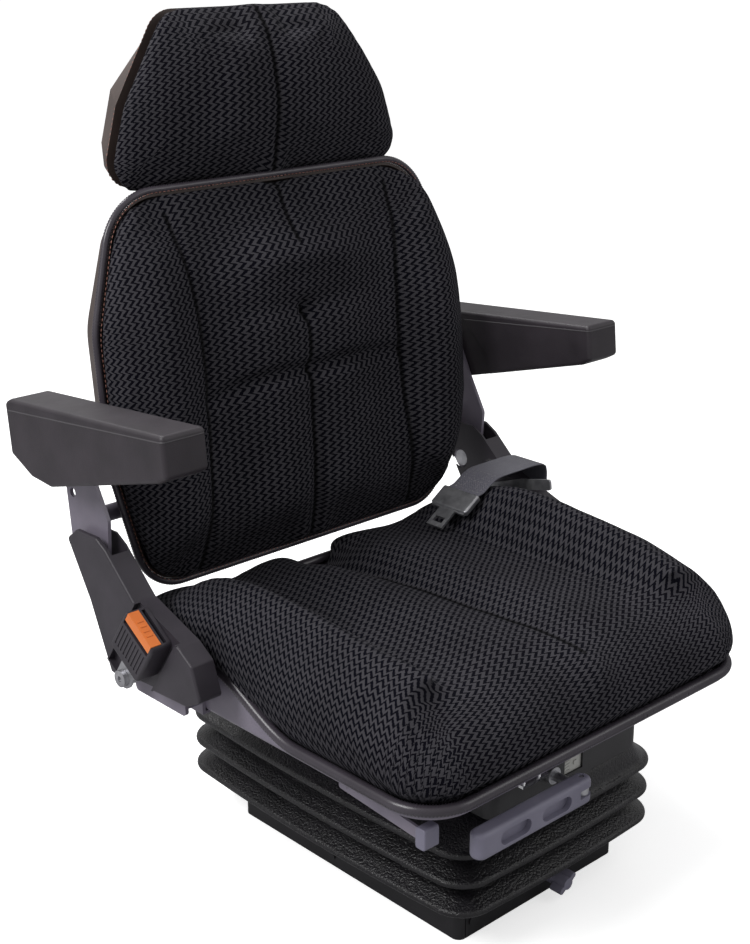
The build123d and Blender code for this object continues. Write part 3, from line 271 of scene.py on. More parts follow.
def bowed_ring(half_x, half_y, centre_y, bow_x, bow_y, corner, z):
    """The sleeve at one height: a rounded oblong whose sides bow outward."""
    flat = []
    signs = ((1, 1), (-1, 1), (-1, -1), (1, -1))
    for quarter, (sign_x, sign_y) in enumerate(signs):
        for part in range(corner_steps + 1):
            angle = (quarter + part / corner_steps) * pi / 2
            x = sign_x * (half_x - corner) + corner * cos(angle)
            flat.append((x, sign_y * (half_y - corner) + corner * sin(angle)))
        end = flat[-1]
        next_x, next_y = signs[(quarter + 1) % 4]
        start_angle = (quarter + 1) * pi / 2
        goal_x = next_x * (half_x - corner) + corner * cos(start_angle)
        goal_y = next_y * (half_y - corner) + corner * sin(start_angle)
        for part in range(1, side_steps):
            share = part / side_steps
            flat.append((end[0] + (goal_x - end[0]) * share, end[1] + (goal_y - end[1]) * share))
    ring = []
    for x, y in flat:
        out_x = (1 if x > 0 else -1) * bow_x * max(0, 1 - (y / half_y) ** 2)
        out_y = (1 if y > 0 else -1) * bow_y * max(0, 1 - (x / half_x) ** 2)
        ring.append(Vector((x + out_x, y + out_y + centre_y, z)))
    return ring


def sleeve_ring(inset, z, extra):
    """The sleeve drawn in from its widest line by inset."""
    draw = inset + extra
    half_x = lip_half_x - draw
    half_y = lip_half_y - draw
    return bowed_ring(half_x, half_y, lip_centre_y, lip_bow_x, lip_bow_y, lip_corner - draw / 2, z)


def cuff_ring(half_x, half_y, centre_y, corner, z, extra):
    """The sleeve where it grips the tray or the housing."""
    return bowed_ring(half_x - extra, half_y - extra, centre_y, cuff_bow, cuff_bow, corner, z)


def mixed(first, second, share):
    """A ring between two others."""
    return [a.lerp(b, share) for a, b in zip(first, second)]


def sleeve_rings(extra):
    """Every level from the tray's rim to the housing."""
    foot = cuff_ring(tray_half_x, tray_half_y, 0, tray_corner, sleeve_foot_z, extra)
    head = cuff_ring(housing_half_x, housing_half_y, housing_centre_y, housing_corner, sleeve_head_z, extra)
    levels = []
    for rib in range(rib_count):
        middle = first_rib_z + rib * rib_pitch
        for degree in range(-80, 81, 20):
            angle = radians(degree)
            levels.append(sleeve_ring(lip_round * (1 - cos(angle)), middle + lip_round * sin(angle), extra))
        if rib < rib_count - 1:
            top = middle + lip_round
            gap = rib_pitch - 2 * lip_round
            for share, inset in fold_insets:
                levels.append(sleeve_ring(inset * mm, top + gap * share, extra))
    lower = [mixed(foot, levels[0], share) for share in (0, 0.25, 0.5, 0.75)]
    upper = [mixed(levels[-1], head, share) for share in (0.25, 0.5, 0.75, 1)]
    return lower + levels + upper


def ringed_piece(name, rings, material, endless=True):
    """A smooth closed mesh through like-numbered rings, joined end to end or capped at both ends."""
    mesh = bpy.data.meshes.new(name)
    count = len(rings[0])
    points = [point for ring in rings for point in ring]
    faces = []
    if not endless:
        faces = [tuple(range(count))[::-1], tuple(range(len(points) - count, len(points)))]
    for row in range(len(rings) if endless else len(rings) - 1):
        here = row * count
        there = (row + 1) % len(rings) * count
        for spot in range(count):
            beside = (spot + 1) % count
            faces.append((here + spot, here + beside, there + beside, there + spot))
    mesh.from_pydata(points, [], faces)
    mesh.polygons.foreach_set("use_smooth", [True] * len(faces))
    mesh.materials.append(material)
    piece = bpy.data.objects.new(name, mesh)
    scene.collection.objects.link(piece)
    return piece


def creased_rubber(name, dark, light):
    """Rubber with flat leathery cells between fine creases, and small pits."""
    material, tree, shader = new_finish(name)
    place = at_rest(tree)
    tree.links.new(mottled(tree, place, dark, light, 26 * mm), shader.inputs["Base Color"])
    uneven(tree, shader, place, 0.24, 0.46, 14 * mm)
    cells = {"Vector": place, "Scale": 1 / (4.2 * mm)}
    creases = step(tree, "TexVoronoi", cells, feature="DISTANCE_TO_EDGE")
    crease_depth = reckon(tree, "MINIMUM", creases.outputs["Distance"], 0.22)
    pits = step(tree, "TexNoise", {"Vector": place, "Scale": 1 / (2.4 * mm), "Detail": 5.0})
    raised(tree, shader, reckon(tree, "MULTIPLY_ADD", pits.outputs["Fac"], 0.8, crease_depth), 1.0 * mm)
    return material


rubber = creased_rubber("grained black rubber", (0.0045, 0.004, 0.005), (0.010, 0.009, 0.0115))
bellows = ringed_piece("bellows_sleeve", sleeve_rings(0) + sleeve_rings(bellows_wall)[::-1], rubber)
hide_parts("bellows")
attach(bellows, "base")
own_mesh(bellows)

# Upper housing: a black pressed box over the springs, with a small window in front for the
# driver's weight. The folding handle that winds the springs is grey nylon on a plated spindle.
scale_plastic = moulded("weight scale", (0.42, 0.42, 0.4), (0.5, 0.5, 0.47), 0.45, 0.6, 0.8 * mm, 0.02 * mm)
bright_chrome = bare_steel("bright chrome", (0.72, 0.72, 0.74), (0.86, 0.86, 0.88), 0.09)
dress(black_coat, "upper_housing")
dress(scale_plastic, "weight_scale")
dress(plated_steel, "adjuster_spindle", "handle_pin")
dress(grey_nylon, "adjuster_handle")
dress(bright_chrome, "hook")

# Slide rails: roll-formed black channels, plated sliders and nylon pads, freed by a rod that
# ends in a flat grey tab under the cushion's front corner.
lilac_coat = powder_coat("lilac grey powder coat", (0.16, 0.143, 0.185), (0.21, 0.187, 0.235))
dress(black_coat, "lower_rails")
dress(plated_steel, "upper_rails")
dress(roller_nylon, "rail_slides")
dress(lilac_coat, "slide_lever")
dress(grey_nylon, "slide_lever_tab")

# Seat pan: a dished steel pressing in lilac grey, edged all round by a soft trim whose fine
# cross ribs are pressed over the rim. The rim climbs toward the rear.
pan_half_x = 238.75 * mm
pan_front_y = -242.75 * mm
pan_rear_y = 196.75 * mm
rim_low_z = 218 * mm
rim_high_z = 264 * mm
rise_start_y = -62 * mm
rise_end_y = 74 * mm
pan_front_corner = 50.75 * mm
pan_rear_corner = 24.75 * mm
trim_radius = 6.2 * mm
trim_sides = 14
rib_step = 1.55 * mm
rib_valley = 0.84
arc_steps = 24
dress(lilac_coat, "seat_pan")


def rounded_loop(corners, spacing):
    """Evenly spaced points round a closed outline whose corners are (x, y, radius)."""
    dense = []
    count = len(corners)
    for index, (x, y, radius) in enumerate(corners):
        here = Vector((x, y))
        before = (Vector(corners[index - 1][:2]) - here).normalized()
        after = (Vector(corners[(index + 1) % count][:2]) - here).normalized()
        half = before.angle(after) / 2
        middle = here + (before + after).normalized() * (radius / sin(half))
        start = here + before * (radius * cos(half) / sin(half)) - middle
        finish = here + after * (radius * cos(half) / sin(half)) - middle
        begin = atan2(start.y, start.x)
        swing = (atan2(finish.y, finish.x) - begin + pi) % (2 * pi) - pi
        for part in range(arc_steps + 1):
            angle = begin + swing * part / arc_steps
            dense.append(middle + Vector((cos(angle), sin(angle))) * radius)
    lengths = [(dense[(i + 1) % len(dense)] - dense[i]).length for i in range(len(dense))]
    total = sum(lengths)
    number = 2 * round(total / spacing / 2)
    loop = []
    index, gone = 0, 0.0
    for part in range(number):
        goal = total * part / number
        while gone + lengths[index] < goal:
            gone += lengths[index]
            index += 1
        share = (goal - gone) / lengths[index]
        loop.append(dense[index].lerp(dense[(index + 1) % len(dense)], share))
    return loop


def ribbed_bead(name, path, across, radius, material):
    """Round trim along a closed path, with a ridge at every other point."""
    rings = []
    for index, place in enumerate(path):
        ahead = (path[(index + 1) % len(path)] - path[index - 1]).normalized()
        side = ahead.cross(across).normalized()
        high = side.cross(ahead)
        reach = radius * (rib_valley if index % 2 else 1.0)
        turns = [2 * pi * part / trim_sides for part in range(trim_sides)]
        rings.append([place + (side * cos(turn) + high * sin(turn)) * reach for turn in turns])
    return ringed_piece(name, rings, material)


def rim_height(y):
    """The rim's height: level in front, then a smooth climb."""
    share = min(1, max(0, (y - rise_start_y) / (rise_end_y - rise_start_y)))
    return rim_low_z + (rim_high_z - rim_low_z) * share * share * (3 - 2 * share)


trim_dark = (0.042, 0.036, 0.045)
trim_light = (0.06, 0.052, 0.065)
trim_rubber = moulded("ribbed trim", trim_dark, trim_light, 0.22, 0.36, 1.1 * mm, 0.03 * mm)
pan_corners = [
    (-pan_half_x, pan_front_y, pan_front_corner),
    (pan_half_x, pan_front_y, pan_front_corner),
    (pan_half_x, pan_rear_y, pan_rear_corner),
    (-pan_half_x, pan_rear_y, pan_rear_corner),
]
rim_path = [Vector((x, y, rim_height(y))) for x, y in rounded_loop(pan_corners, rib_step)]
pan_edge = ribbed_bead("pan_edge_trim", rim_path, Vector((0, 0, 1)), trim_radius, trim_rubber)
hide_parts("pan_trim")
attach(pan_edge, "seat")

# Seat cushion: moulded foam in a tight zigzag knit, sewn with a channel down the middle and one
# beside each bolster. The cover is pulled over the foam, so it swells between its seams.
tooth_length = 7.4 * mm
column_width = 10.2 * mm
tooth_reach = -0.72
climb_share = 0.68
nose_power = 2.2
nose_share = 0.75
nose_fade = 2.4
cover_grid = 6 * mm
outline_step = 8 * mm
seam_far = 20 * mm
unfold_near = 37 * mm
unfold_far = 62 * mm
cloth_slack = 2.5 * mm
cloth_swell = 5 * mm
cloth_pressure = 4
cloth_moments = 20


def knit(name):
    """Black cloth with a raised grey zigzag, darkened by painted shade along its sewn seams. The mesh notes
    each point's place on the flat cloth.
    """
    material, tree, shader = new_finish(name)
    place = at_rest(tree)
    across = step(tree, "Attribute", attribute_name="cloth_across").outputs["Fac"]
    along = step(tree, "Attribute", attribute_name="cloth_along").outputs["Fac"]
    drift = step(tree, "TexNoise", {"Vector": place, "Scale": 1 / (30 * mm), "Detail": 1.0})
    sway = reckon(tree, "MULTIPLY_ADD", drift.outputs["Fac"], 4.0 * mm, across)
    tooth = reckon(tree, "FRACT", reckon(tree, "DIVIDE", along, tooth_length))
    climb = reckon(tree, "DIVIDE", tooth, climb_share)
    fall = reckon(tree, "DIVIDE", reckon(tree, "SUBTRACT", 1.0, tooth), 1 - climb_share)
    saw = reckon(tree, "MINIMUM", climb, fall)
    column = reckon(tree, "MULTIPLY_ADD", saw, tooth_reach, reckon(tree, "DIVIDE", sway, column_width))
    wave = reckon(tree, "SINE", reckon(tree, "MULTIPLY", column, 2 * pi))
    threads = step(tree, "TexNoise", {"Vector": place, "Scale": 1 / (1.5 * mm), "Detail": 3.0})
    frayed = reckon(tree, "MULTIPLY_ADD", threads.outputs["Fac"], 2.6, wave)
    linked = reckon(tree, "MULTIPLY_ADD", reckon(tree, "GREATER_THAN", tooth, 0.72), 0.2, frayed)
    edge = {"Value": linked, "From Min": 0.95, "From Max": 1.5}
    stroke = step(tree, "MapRange", edge, interpolation_type="SMOOTHSTEP")
    shade = step(tree, "TexNoise", {"Vector": place, "Scale": 1 / (90 * mm), "Detail": 2.0})
    light = step(tree, "MapRange", {"Value": shade.outputs["Fac"], "From Min": 0.3, "From Max": 0.7})
    light.inputs["To Min"].default_value = 0.85
    light.inputs["To Max"].default_value = 1.15
    yarn = step(tree, "Mix", {"Factor": stroke.outputs["Result"]}, data_type="RGBA")
    yarn.inputs["A"].default_value = (0.0015, 0.0015, 0.0045, 1)
    yarn.inputs["B"].default_value = (0.048, 0.046, 0.053, 1)
    # Painted shade: within about 4 mm of a sewn seam or tuft the colour falls to a fifth, for the shade in
    # the seam's crease.
    sewn = step(tree, "Attribute", attribute_name="seam_distance").outputs["Fac"]
    dark = step(tree, "MapRange", {"Value": sewn, "From Min": 1.2 * mm, "From Max": 4 * mm, "To Min": 0.2})
    tone_with_seam_shade = reckon(tree, "MULTIPLY", light.outputs["Result"], dark.outputs["Result"])
    tint = step(tree, "VectorMath", {0: yarn.outputs["Result"]}, operation="SCALE")
    tree.links.new(tone_with_seam_shade, tint.inputs["Scale"])
    tree.links.new(tint.outputs["Vector"], shader.inputs["Base Color"])
    relief = reckon(tree, "MULTIPLY_ADD", threads.outputs["Fac"], 0.5, stroke.outputs["Result"])
    raised(tree, shader, relief, 0.5 * mm)
    shader.inputs["Roughness"].default_value = 0.95
    shader.inputs["Specular IOR Level"].default_value = 0.1
    return material


def applied(piece):
    """Takes the modifiers' result as the piece's own mesh."""
    bpy.context.view_layer.update()
    graph = bpy.context.evaluated_depsgraph_get()
    result = bpy.data.meshes.new_from_object(piece.evaluated_get(graph))
    piece.modifiers.clear()
    piece.data = result


def points_of(piece):
    """The mesh's points as rows of numbers."""
    spots = np.zeros(len(piece.data.vertices) * 3)
    piece.data.vertices.foreach_get("co", spots)
    return spots.reshape(-1, 3)


def normals_of(piece):
    """The mesh's point normals as rows of numbers."""
    ways = np.zeros(len(piece.data.vertices) * 3)
    piece.data.vertex_normals.foreach_get("vector", ways)
    return ways.reshape(-1, 3)


def set_points(piece, spots):
    """Moves the mesh's points."""
    piece.data.vertices.foreach_set("co", spots.ravel())
    piece.data.update()


def reskinned(piece, voxel, rounds):
    """Meshes the piece anew in even squares and eases its edges."""
    skin = piece.modifiers.new("skin", "REMESH")
    skin.mode = "VOXEL"
    skin.voxel_size = voxel
    ease = piece.modifiers.new("ease", "SMOOTH")
    ease.iterations = rounds
    applied(piece)


def near_outline(flat, outline):
    """How far inside a closed outline each flat point is, and the outline's outward direction there."""
    distance = np.full(len(flat), 1e9)
    outward = np.zeros((len(flat), 2))
    middle = sum(outline, Vector((0, 0))) / len(outline)
    for start, end in zip(outline, outline[1:] + outline[:1]):
        run = np.array(end - start)
        share = np.clip((flat - np.array(start)) @ run / (run @ run), 0, 1)
        apart = np.linalg.norm(flat - (np.array(start) + share[:, None] * run), axis=1)
        side = np.array((run[1], -run[0])) / np.linalg.norm(run)
        if side @ np.array(start - middle) < 0:
            side = -side
        closer = apart < distance
        distance[closer] = apart[closer]
        outward[closer] = side
    return distance, outward


def nosed(piece, upright, outline, level, out_sign, root, crown, swell, reach):
    """Gives a pad's edge a full round nose: it swells past the trim and curls in toward the crown.

    level is the axis its face looks along. root, crown and reach are functions that give, beside
    each point, the heights of the trim and of the crown and how far the edge curls in.
    """
    back_again = upright.inverted()
    spots = np.array([upright @ Vector(spot) for spot in points_of(piece)])
    axes = [axis for axis in range(3) if axis != level]
    flat = spots[:, axes]
    distance, outward = near_outline(flat, outline)
    high = np.clip((spots[:, level] * out_sign - root(flat)) / (crown(flat) - root(flat)), 0, 1)
    inward = reach(flat) * (1 - (1 - high ** nose_power) ** (1 / nose_power))
    outset = swell * np.sin(pi * np.minimum(high / nose_share, 1))
    fade = np.clip(1 - distance / (nose_fade * reach(flat)), 0, 1) ** 1.5
    spots[:, axes] = flat + outward * ((outset - inward) * fade)[:, None]
    set_points(piece, np.array([back_again @ Vector(spot) for spot in spots]))


def distance_along(flat, line):
    """How far each flat point is from a line of (a, b, depth) points, and the depth beside it."""
    nearest = np.full(len(flat), 1e9)
    depth = np.zeros(len(flat))
    for (*start, first), (*end, second) in zip(line, line[1:]):
        start, end = np.array(start) * mm, np.array(end) * mm
        run = end - start
        share = np.clip((flat - start) @ run / (run @ run), 0, 1)
        apart = np.linalg.norm(flat - (start + share[:, None] * run), axis=1)
        closer = apart < nearest
        nearest[closer] = apart[closer]
        depth[closer] = (first + (second - first) * share[closer]) * mm
    return nearest, depth


def sink(piece, flat, toward, seams):
    """Sinks a soft channel along each line, or fills one where its depth is below zero."""
    spots = points_of(piece)
    open_side = np.clip((normals_of(piece) @ np.array(toward) - 0.05) / 0.25, 0, 1)
    total = np.zeros(len(spots))
    for line, width in seams:
        apart, depth = distance_along(flat, line)
        total += depth * np.exp(-((apart / (width * mm)) ** 2))
    set_points(piece, spots - np.array(toward) * (total * open_side)[:, None])


def marked(piece, flat, toward, seams, outline, drops):
    """Notes how far each point is from a sewn line, which the knit darkens as painted shade, and its place on
    the cloth laid out flat.
    """
    open_side = normals_of(piece) @ np.array(toward) > 0.1
    nearest = np.full(len(flat), seam_far)
    for line, _ in seams:
        nearest = np.minimum(nearest, distance_along(flat, line)[0])
    nearest[~open_side] = seam_far
    distance, outward = near_outline(flat, outline)
    fade = np.clip((unfold_far - distance) / (unfold_far - unfold_near), 0, 1)
    laid_out = flat + outward * (np.maximum(drops, 0) * fade)[:, None]
    notes = {"seam_distance": nearest, "cloth_across": laid_out[:, 0], "cloth_along": laid_out[:, 1]}
    for name, values in notes.items():
        note = piece.data.attributes.new(name, "FLOAT", "POINT")
        note.data.foreach_set("value", values)


def stuffed(name, source):
    """A copy of a pad from the frame, for its cover."""
    piece = bpy.data.objects.new(name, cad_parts[source].data.copy())
    scene.collection.objects.link(piece)
    welded = bmesh.new()
    welded.from_mesh(piece.data)
    bmesh.ops.remove_doubles(welded, verts=welded.verts, dist=0.01 * mm)
    welded.to_mesh(piece.data)
    welded.free()
    return piece


def swollen(piece, material, toward, held_share):
    """Draws the cover in a little, swells it as cloth under pressure, and subdivides it once."""
    spots = points_of(piece) - normals_of(piece) * cloth_slack
    set_points(piece, spots)
    depth = spots @ np.array(toward)
    edge = depth.min() + (depth.max() - depth.min()) * held_share
    held = piece.vertex_groups.new(name="held")
    held.add([int(i) for i in np.nonzero(depth < edge)[0]], 1.0, "REPLACE")
    cloth = piece.modifiers.new("cover", "CLOTH")
    cloth.settings.quality = 4
    cloth.settings.use_pressure = True
    cloth.settings.uniform_pressure_force = cloth_pressure
    cloth.settings.vertex_group_mass = "held"
    cloth.settings.effector_weights.gravity = 0
    cloth.collision_settings.use_collision = False
    cloth.point_cache.frame_end = cloth_moments
    for moment in range(1, cloth_moments + 1):
        scene.frame_set(moment)
    applied(piece)
    move = points_of(piece) - spots
    length = np.linalg.norm(move, axis=1, keepdims=True)
    set_points(piece, spots + move * np.minimum(1, cloth_swell / np.maximum(length, 1e-9)))
    scene.frame_set(1)
    finer = piece.modifiers.new("finer", "SUBSURF")
    finer.levels = 1
    finer.render_levels = 1
    applied(piece)
    piece.data.materials.clear()
    piece.data.materials.append(material)
    piece.data.polygons.foreach_set("use_smooth", [True] * len(piece.data.polygons))


zigzag_knit = knit("zigzag knit")
seat_foam = stuffed("seat_cushion_cover", "seat_cushion")
seat_half_x = 251 * mm
seat_front_y = -257 * mm
seat_rear_y = 208 * mm
seat_front_corner = 62 * mm
seat_rear_corner = 30 * mm
seat_corners = [
    (-seat_half_x, seat_front_y, seat_front_corner),
    (seat_half_x, seat_front_y, seat_front_corner),
    (seat_half_x, seat_rear_y, seat_rear_corner),
    (-seat_half_x, seat_rear_y, seat_rear_corner),
]
seat_outline = rounded_loop(seat_corners, outline_step)
between_top_z = 296 * mm
bolster_starts_x = 140 * mm
bolster_slope = 50 * mm
crown_y = np.array([-250, -210, -180, -120, -60, 0, 60, 112, 150, 180, 208]) * mm
crown_z = np.array([294, 312, 321, 333, 339, 344, 344, 331, 312, 295, 284]) * mm
frontness_start = -120 * mm
frontness_end = -235 * mm


def frontness(flat):
    """Nothing along the sides, and one at the front edge."""
    return np.clip((flat[:, 1] - frontness_start) / (frontness_end - frontness_start), 0, 1)


def seat_root(flat):
    """The pan trim's top beside each point."""
    return np.array([rim_height(y) for y in flat[:, 1]]) + 5 * mm


def seat_crown(flat):
    """The height of the bolster beside each point, and of the seat between the bolsters."""
    bolster = np.interp(flat[:, 1], crown_y, crown_z)
    between = np.minimum(bolster, between_top_z)
    share = np.clip((np.abs(flat[:, 0]) - bolster_starts_x) / bolster_slope, 0, 1)
    return between + (bolster - between) * share


def seat_reach(flat):
    """How far the edge curls in."""
    rear = np.clip((flat[:, 1] - 120 * mm) / (80 * mm), 0, 1)
    return (36 + 32 * frontness(flat) - 28 * rear) * mm


reskinned(seat_foam, cover_grid, 4)
nosed(seat_foam, Matrix.Identity(4), seat_outline, 2, 1, seat_root, seat_crown, 2.5 * mm, seat_reach)
seat_fill = [(0, 150, -7), (0, 60, -18), (0, 0, -21), (0, -120, -15), (0, -200, -17), (0, -262, -20)]
rear_lobe = [(45, 196, -11), (205, 196, -11)]
other_rear_lobe = [(-x, y, depth) for x, y, depth in rear_lobe]
seat_lifts = [(seat_fill, 20), (rear_lobe, 30), (other_rear_lobe, 30)]
sink(seat_foam, points_of(seat_foam)[:, :2], (0, 0, 1), seat_lifts)
reskinned(seat_foam, cover_grid, 10)
swollen(seat_foam, zigzag_knit, (0, 0, 1), 0.06)
seat_middle_seam = [(0, 190, 4), (0, 60, 4), (0, -60, 4), (0, -170, 3), (2, -214, 0.5)]
side_valley = [(152, 178, 2), (147, 95, 5), (144, 25, 6), (146, -47, 6), (152, -112, 5), (158, -185, 1)]
other_valley = [(-x, y, depth) for x, y, depth in side_valley]
seat_flat = points_of(seat_foam)[:, :2]
sink(seat_foam, seat_flat, (0, 0, 1), [(seat_middle_seam, 6), (side_valley, 11), (other_valley, 11)])
seat_drops = seat_crown(seat_flat) - points_of(seat_foam)[:, 2]
marked(seat_foam, seat_flat, (0, 0, 1), [(seat_middle_seam, 6)], seat_outline, seat_drops)
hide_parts("seat_cushion")
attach(seat_foam, "seat")

# Recliner: lilac steel plates bolted together each side, under hollow covers moulded in charcoal
# plastic with a grained face. Chrome screws hold the covers from inside.
charcoal_dark = (0.026, 0.022, 0.029)
charcoal_light = (0.04, 0.034, 0.044)
charcoal = moulded("grained charcoal plastic", charcoal_dark, charcoal_light, 0.4, 0.56, 0.8 * mm, 0.1 * mm)
dress(lilac_coat, "hinge_plate_left", "hinge_plate_right")
dress(plated_steel, "recline_bolts", "recline_lever")
dress(charcoal, "hinge_cover_left", "hinge_cover_right")
dress(bright_chrome, "cover_bolts")

# Backrest: a dished brown-black moulding on a lilac steel frame, a piped edge, and a foam pad in
# the same knit with a raised band over the lumbar, a tuft below it and a low cross seam.
tilt = radians(6)
pivot = Vector((0, 205 * mm, 330 * mm))
back_turn = Matrix.Translation(pivot) @ Matrix.Rotation(-tilt, 4, "X")
back_corners = [
    (214, -33, 52),
    (243, 95, 90),
    (243, 240, 90),
    (206, 374, 62),
]
back_rim_y = -2 * mm
piping_radius = 4.0 * mm
shell_dark = (0.046, 0.032, 0.028)
shell_light = (0.07, 0.05, 0.045)
shell_brown = moulded("brown-black shell", shell_dark, shell_light, 0.4, 0.58, 1.3 * mm, 0.12 * mm)
dress(shell_brown, "backrest_shell")
dress(lilac_coat, "backrest_frame")


def both_halves(corners, grow):
    """A symmetrical outline from one half's corners, (x, z, radius) in millimetres, grown all round."""
    foot = corners[0][1]
    half = []
    for x, z, radius in corners:
        up = grow if z > foot else -grow
        half.append(((x + grow) * mm, (z + up) * mm, (radius + grow) * mm))
    return half + [(-x, z, radius) for x, z, radius in reversed(half)]


back_loop = rounded_loop(both_halves(back_corners, 3.6), rib_step)
piping_path = [back_turn @ Vector((x, back_rim_y, z)) for x, z in back_loop]
back_ahead = back_turn.to_3x3() @ Vector((0, -1, 0))
piping = ribbed_bead("backrest_piping", piping_path, back_ahead, piping_radius, trim_rubber)
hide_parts("backrest_trim")
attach(piping, "back")

back_upright = back_turn.inverted()
back_face = tuple(back_ahead)
back_foam = stuffed("backrest_cushion_cover", "backrest_cushion")
back_outline = rounded_loop(both_halves(back_corners, -0.5), outline_step)


def on_back_face(piece):
    """Flat places across and up the backrest."""
    spots = points_of(piece) - np.array(pivot)
    return np.stack([spots[:, 0], spots[:, 1] * sin(tilt) + spots[:, 2] * cos(tilt)], axis=1)


def off_back_face(piece):
    """How far each point stands out in front of the recliner's pivots, square to the backrest."""
    spots = points_of(piece) - np.array(pivot)
    return spots[:, 2] * sin(tilt) - spots[:, 1] * cos(tilt)


def pad_crown(flat, heights, bolsters, between, inner, outer):
    """A pad's crown at each height, between its bolsters and on them, all in millimetres."""
    low = np.interp(flat[:, 1] / mm, heights, between) * mm
    high = np.interp(flat[:, 1] / mm, heights, bolsters) * mm
    share = np.clip((np.abs(flat[:, 0]) / mm - inner) / (outer - inner), 0, 1)
    return low + (high - low) * share


def back_root(flat):
    """How far the piping stands out, the same everywhere."""
    return np.full(len(flat), -back_rim_y)


def back_crown(flat):
    """How far the pad stands out, thinner toward the top and the foot."""
    heights = [-33, -10, 20, 60, 180, 240, 290, 330, 374]
    bolsters = [26, 37, 48, 56, 61, 57, 48, 35, 16]
    between = [26, 36, 42, 44, 48, 48, 40, 29, 14]
    return pad_crown(flat, heights, bolsters, between, 140, 190)


def back_reach(flat):
    """How far the edge curls in, more at the sides than at the top."""
    top = np.clip((flat[:, 1] - 270 * mm) / (90 * mm), 0, 1)
    return (32 - 8 * top) * mm


reskinned(back_foam, cover_grid, 4)
nosed(back_foam, back_upright, back_outline, 1, -1, back_root, back_crown, 11 * mm, back_reach)
back_fill = [(0, 372, -14), (0, 350, -17), (0, 290, -22), (0, 240, -18)]
back_fill += [(0, 180, -17), (0, 120, -15), (0, 20, -18), (0, -28, -18)]
sink(back_foam, on_back_face(back_foam), back_face, [(back_fill, 20)])
reskinned(back_foam, cover_grid, 8)
swollen(back_foam, zigzag_knit, back_face, 0.25)
upper_seam = [(0, 380, 3), (-1, 340, 3.5), (-3, 308, 1)]
tuft = [(-3, 235, 9), (-3, 231, 9)]
lower_seam = [(-3, 228, 2), (-1, 190, 4), (-1, 131, 5), (-1, 66, 5), (-1, -28, 5)]
bolster_seam = [(154, 352, 1), (147, 300, 3), (141, 250, 4), (139, 190, 4)]
bolster_seam += [(141, 120, 4), (148, 40, 4), (156, -26, 3)]
other_bolster_seam = [(-x, z, depth) for x, z, depth in bolster_seam]
lumbar_crest = [(-92, 282, -3), (-45, 291, -9), (0, 294, -10), (45, 291, -9), (104, 281, -3)]
lumbar_dent = [(-86, 240, 3), (-40, 241, 7), (-3, 236, 7), (35, 241, 7), (76, 242, 3)]
cross_seam = [(-132, 154, 4), (-97, 163, 10), (-50, 170, 12), (-5, 167, 9)]
cross_seam += [(40, 170, 12), (90, 168, 10), (134, 162, 4)]
seams_sewn = [(upper_seam, 6), (lower_seam, 7), (bolster_seam, 6), (other_bolster_seam, 6)]
forms = [(lumbar_crest, 20), (lumbar_dent, 15), (tuft, 9), (cross_seam, 9)]
back_flat = on_back_face(back_foam)
sink(back_foam, back_flat, back_face, seams_sewn + forms)
back_drops = back_crown(back_flat) - off_back_face(back_foam)
marked(back_foam, back_flat, back_face, seams_sewn + [(tuft, 9)], back_outline, back_drops)
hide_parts("backrest_cushion")
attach(back_foam, "back")

# Armrests: soft charcoal foam skinned in its mould, which leaves a fine raised line where the
# mould's halves met. Each turns on a plated shoulder bolt.
parting_height = 174 * mm
flash_inner = 0.35 * mm
flash_outer = 0.9 * mm


def skinned_foam(name, dark, light):
    """Foam skinned in its mould, with a fine raised flash along the mould's parting line."""
    material, tree, shader = new_finish(name)
    place = at_rest(tree)
    colour = mottled(tree, place, dark, light, 50 * mm)
    uneven(tree, shader, place, 0.4, 0.6, 20 * mm)
    up_the_back = (0, sin(tilt), cos(tilt))
    offset = step(tree, "VectorMath", {0: place, 1: tuple(pivot)}, operation="SUBTRACT").outputs["Vector"]
    lift = step(tree, "VectorMath", {0: offset, 1: up_the_back}, operation="DOT_PRODUCT").outputs["Value"]
    from_line = reckon(tree, "ABSOLUTE", reckon(tree, "SUBTRACT", lift, parting_height))
    flash = step(tree, "MapRange", {"Value": from_line, "From Min": flash_inner, "From Max": flash_outer})
    flash.inputs["To Min"].default_value = 1.0
    flash.inputs["To Max"].default_value = 0.0
    mix = step(tree, "Mix", {"Factor": flash.outputs["Result"], "A": colour}, data_type="RGBA")
    mix.inputs["B"].default_value = (0.075, 0.07, 0.076, 1)
    tree.links.new(mix.outputs["Result"], shader.inputs["Base Color"])
    grain = step(tree, "TexVoronoi", {"Vector": place, "Scale": 1 / (1.1 * mm)}, feature="SMOOTH_F1")
    height = reckon(tree, "MULTIPLY_ADD", grain.outputs["Distance"], 0.25, flash.outputs["Result"])
    raised(tree, shader, height, 0.4 * mm)
    return material


skin_foam = skinned_foam("skinned armrest foam", (0.021, 0.017, 0.0215), (0.034, 0.0275, 0.0345))
dress(skin_foam, "armrest_left", "armrest_right")
dress(plated_steel, "armrest_bolts")

# Headrest: a second knit pad on its own brown-black back, carried by two chromed posts that
# slide in guides inside the backrest. A salmon thread runs where pad and back meet.
head_corners = [
    (190, 381, 24),
    (190, 411, 20),
    (172, 463, 30),
    (112, 555, 38),
]
head_rim_y = 28 * mm
dress(shell_brown, "headrest_shell")
dress(bright_chrome, "headrest_posts")
dress(black_coat, "headrest_guides")
head_foam = stuffed("headrest_cushion_cover", "headrest_cushion")
head_outline = rounded_loop(both_halves(head_corners, -0.5), 6 * mm)
# The photograph has the pad a little further forward and lower than the frame's pad.
head_settle = back_turn.to_3x3() @ Vector((0, -8, -3)) * mm


def head_crown(flat):
    """How far the pad stands out at each height."""
    heights = [381, 400, 460, 500, 530, 555]
    bolsters = [-4, 2, 10, 13, 10, -4]
    between = [-2, 8, 19, 20, 13, -4]
    return pad_crown(flat, heights, bolsters, between, 60, 120)


def head_root(flat):
    """How far the thread stands out, the same everywhere."""
    return np.full(len(flat), -head_rim_y)


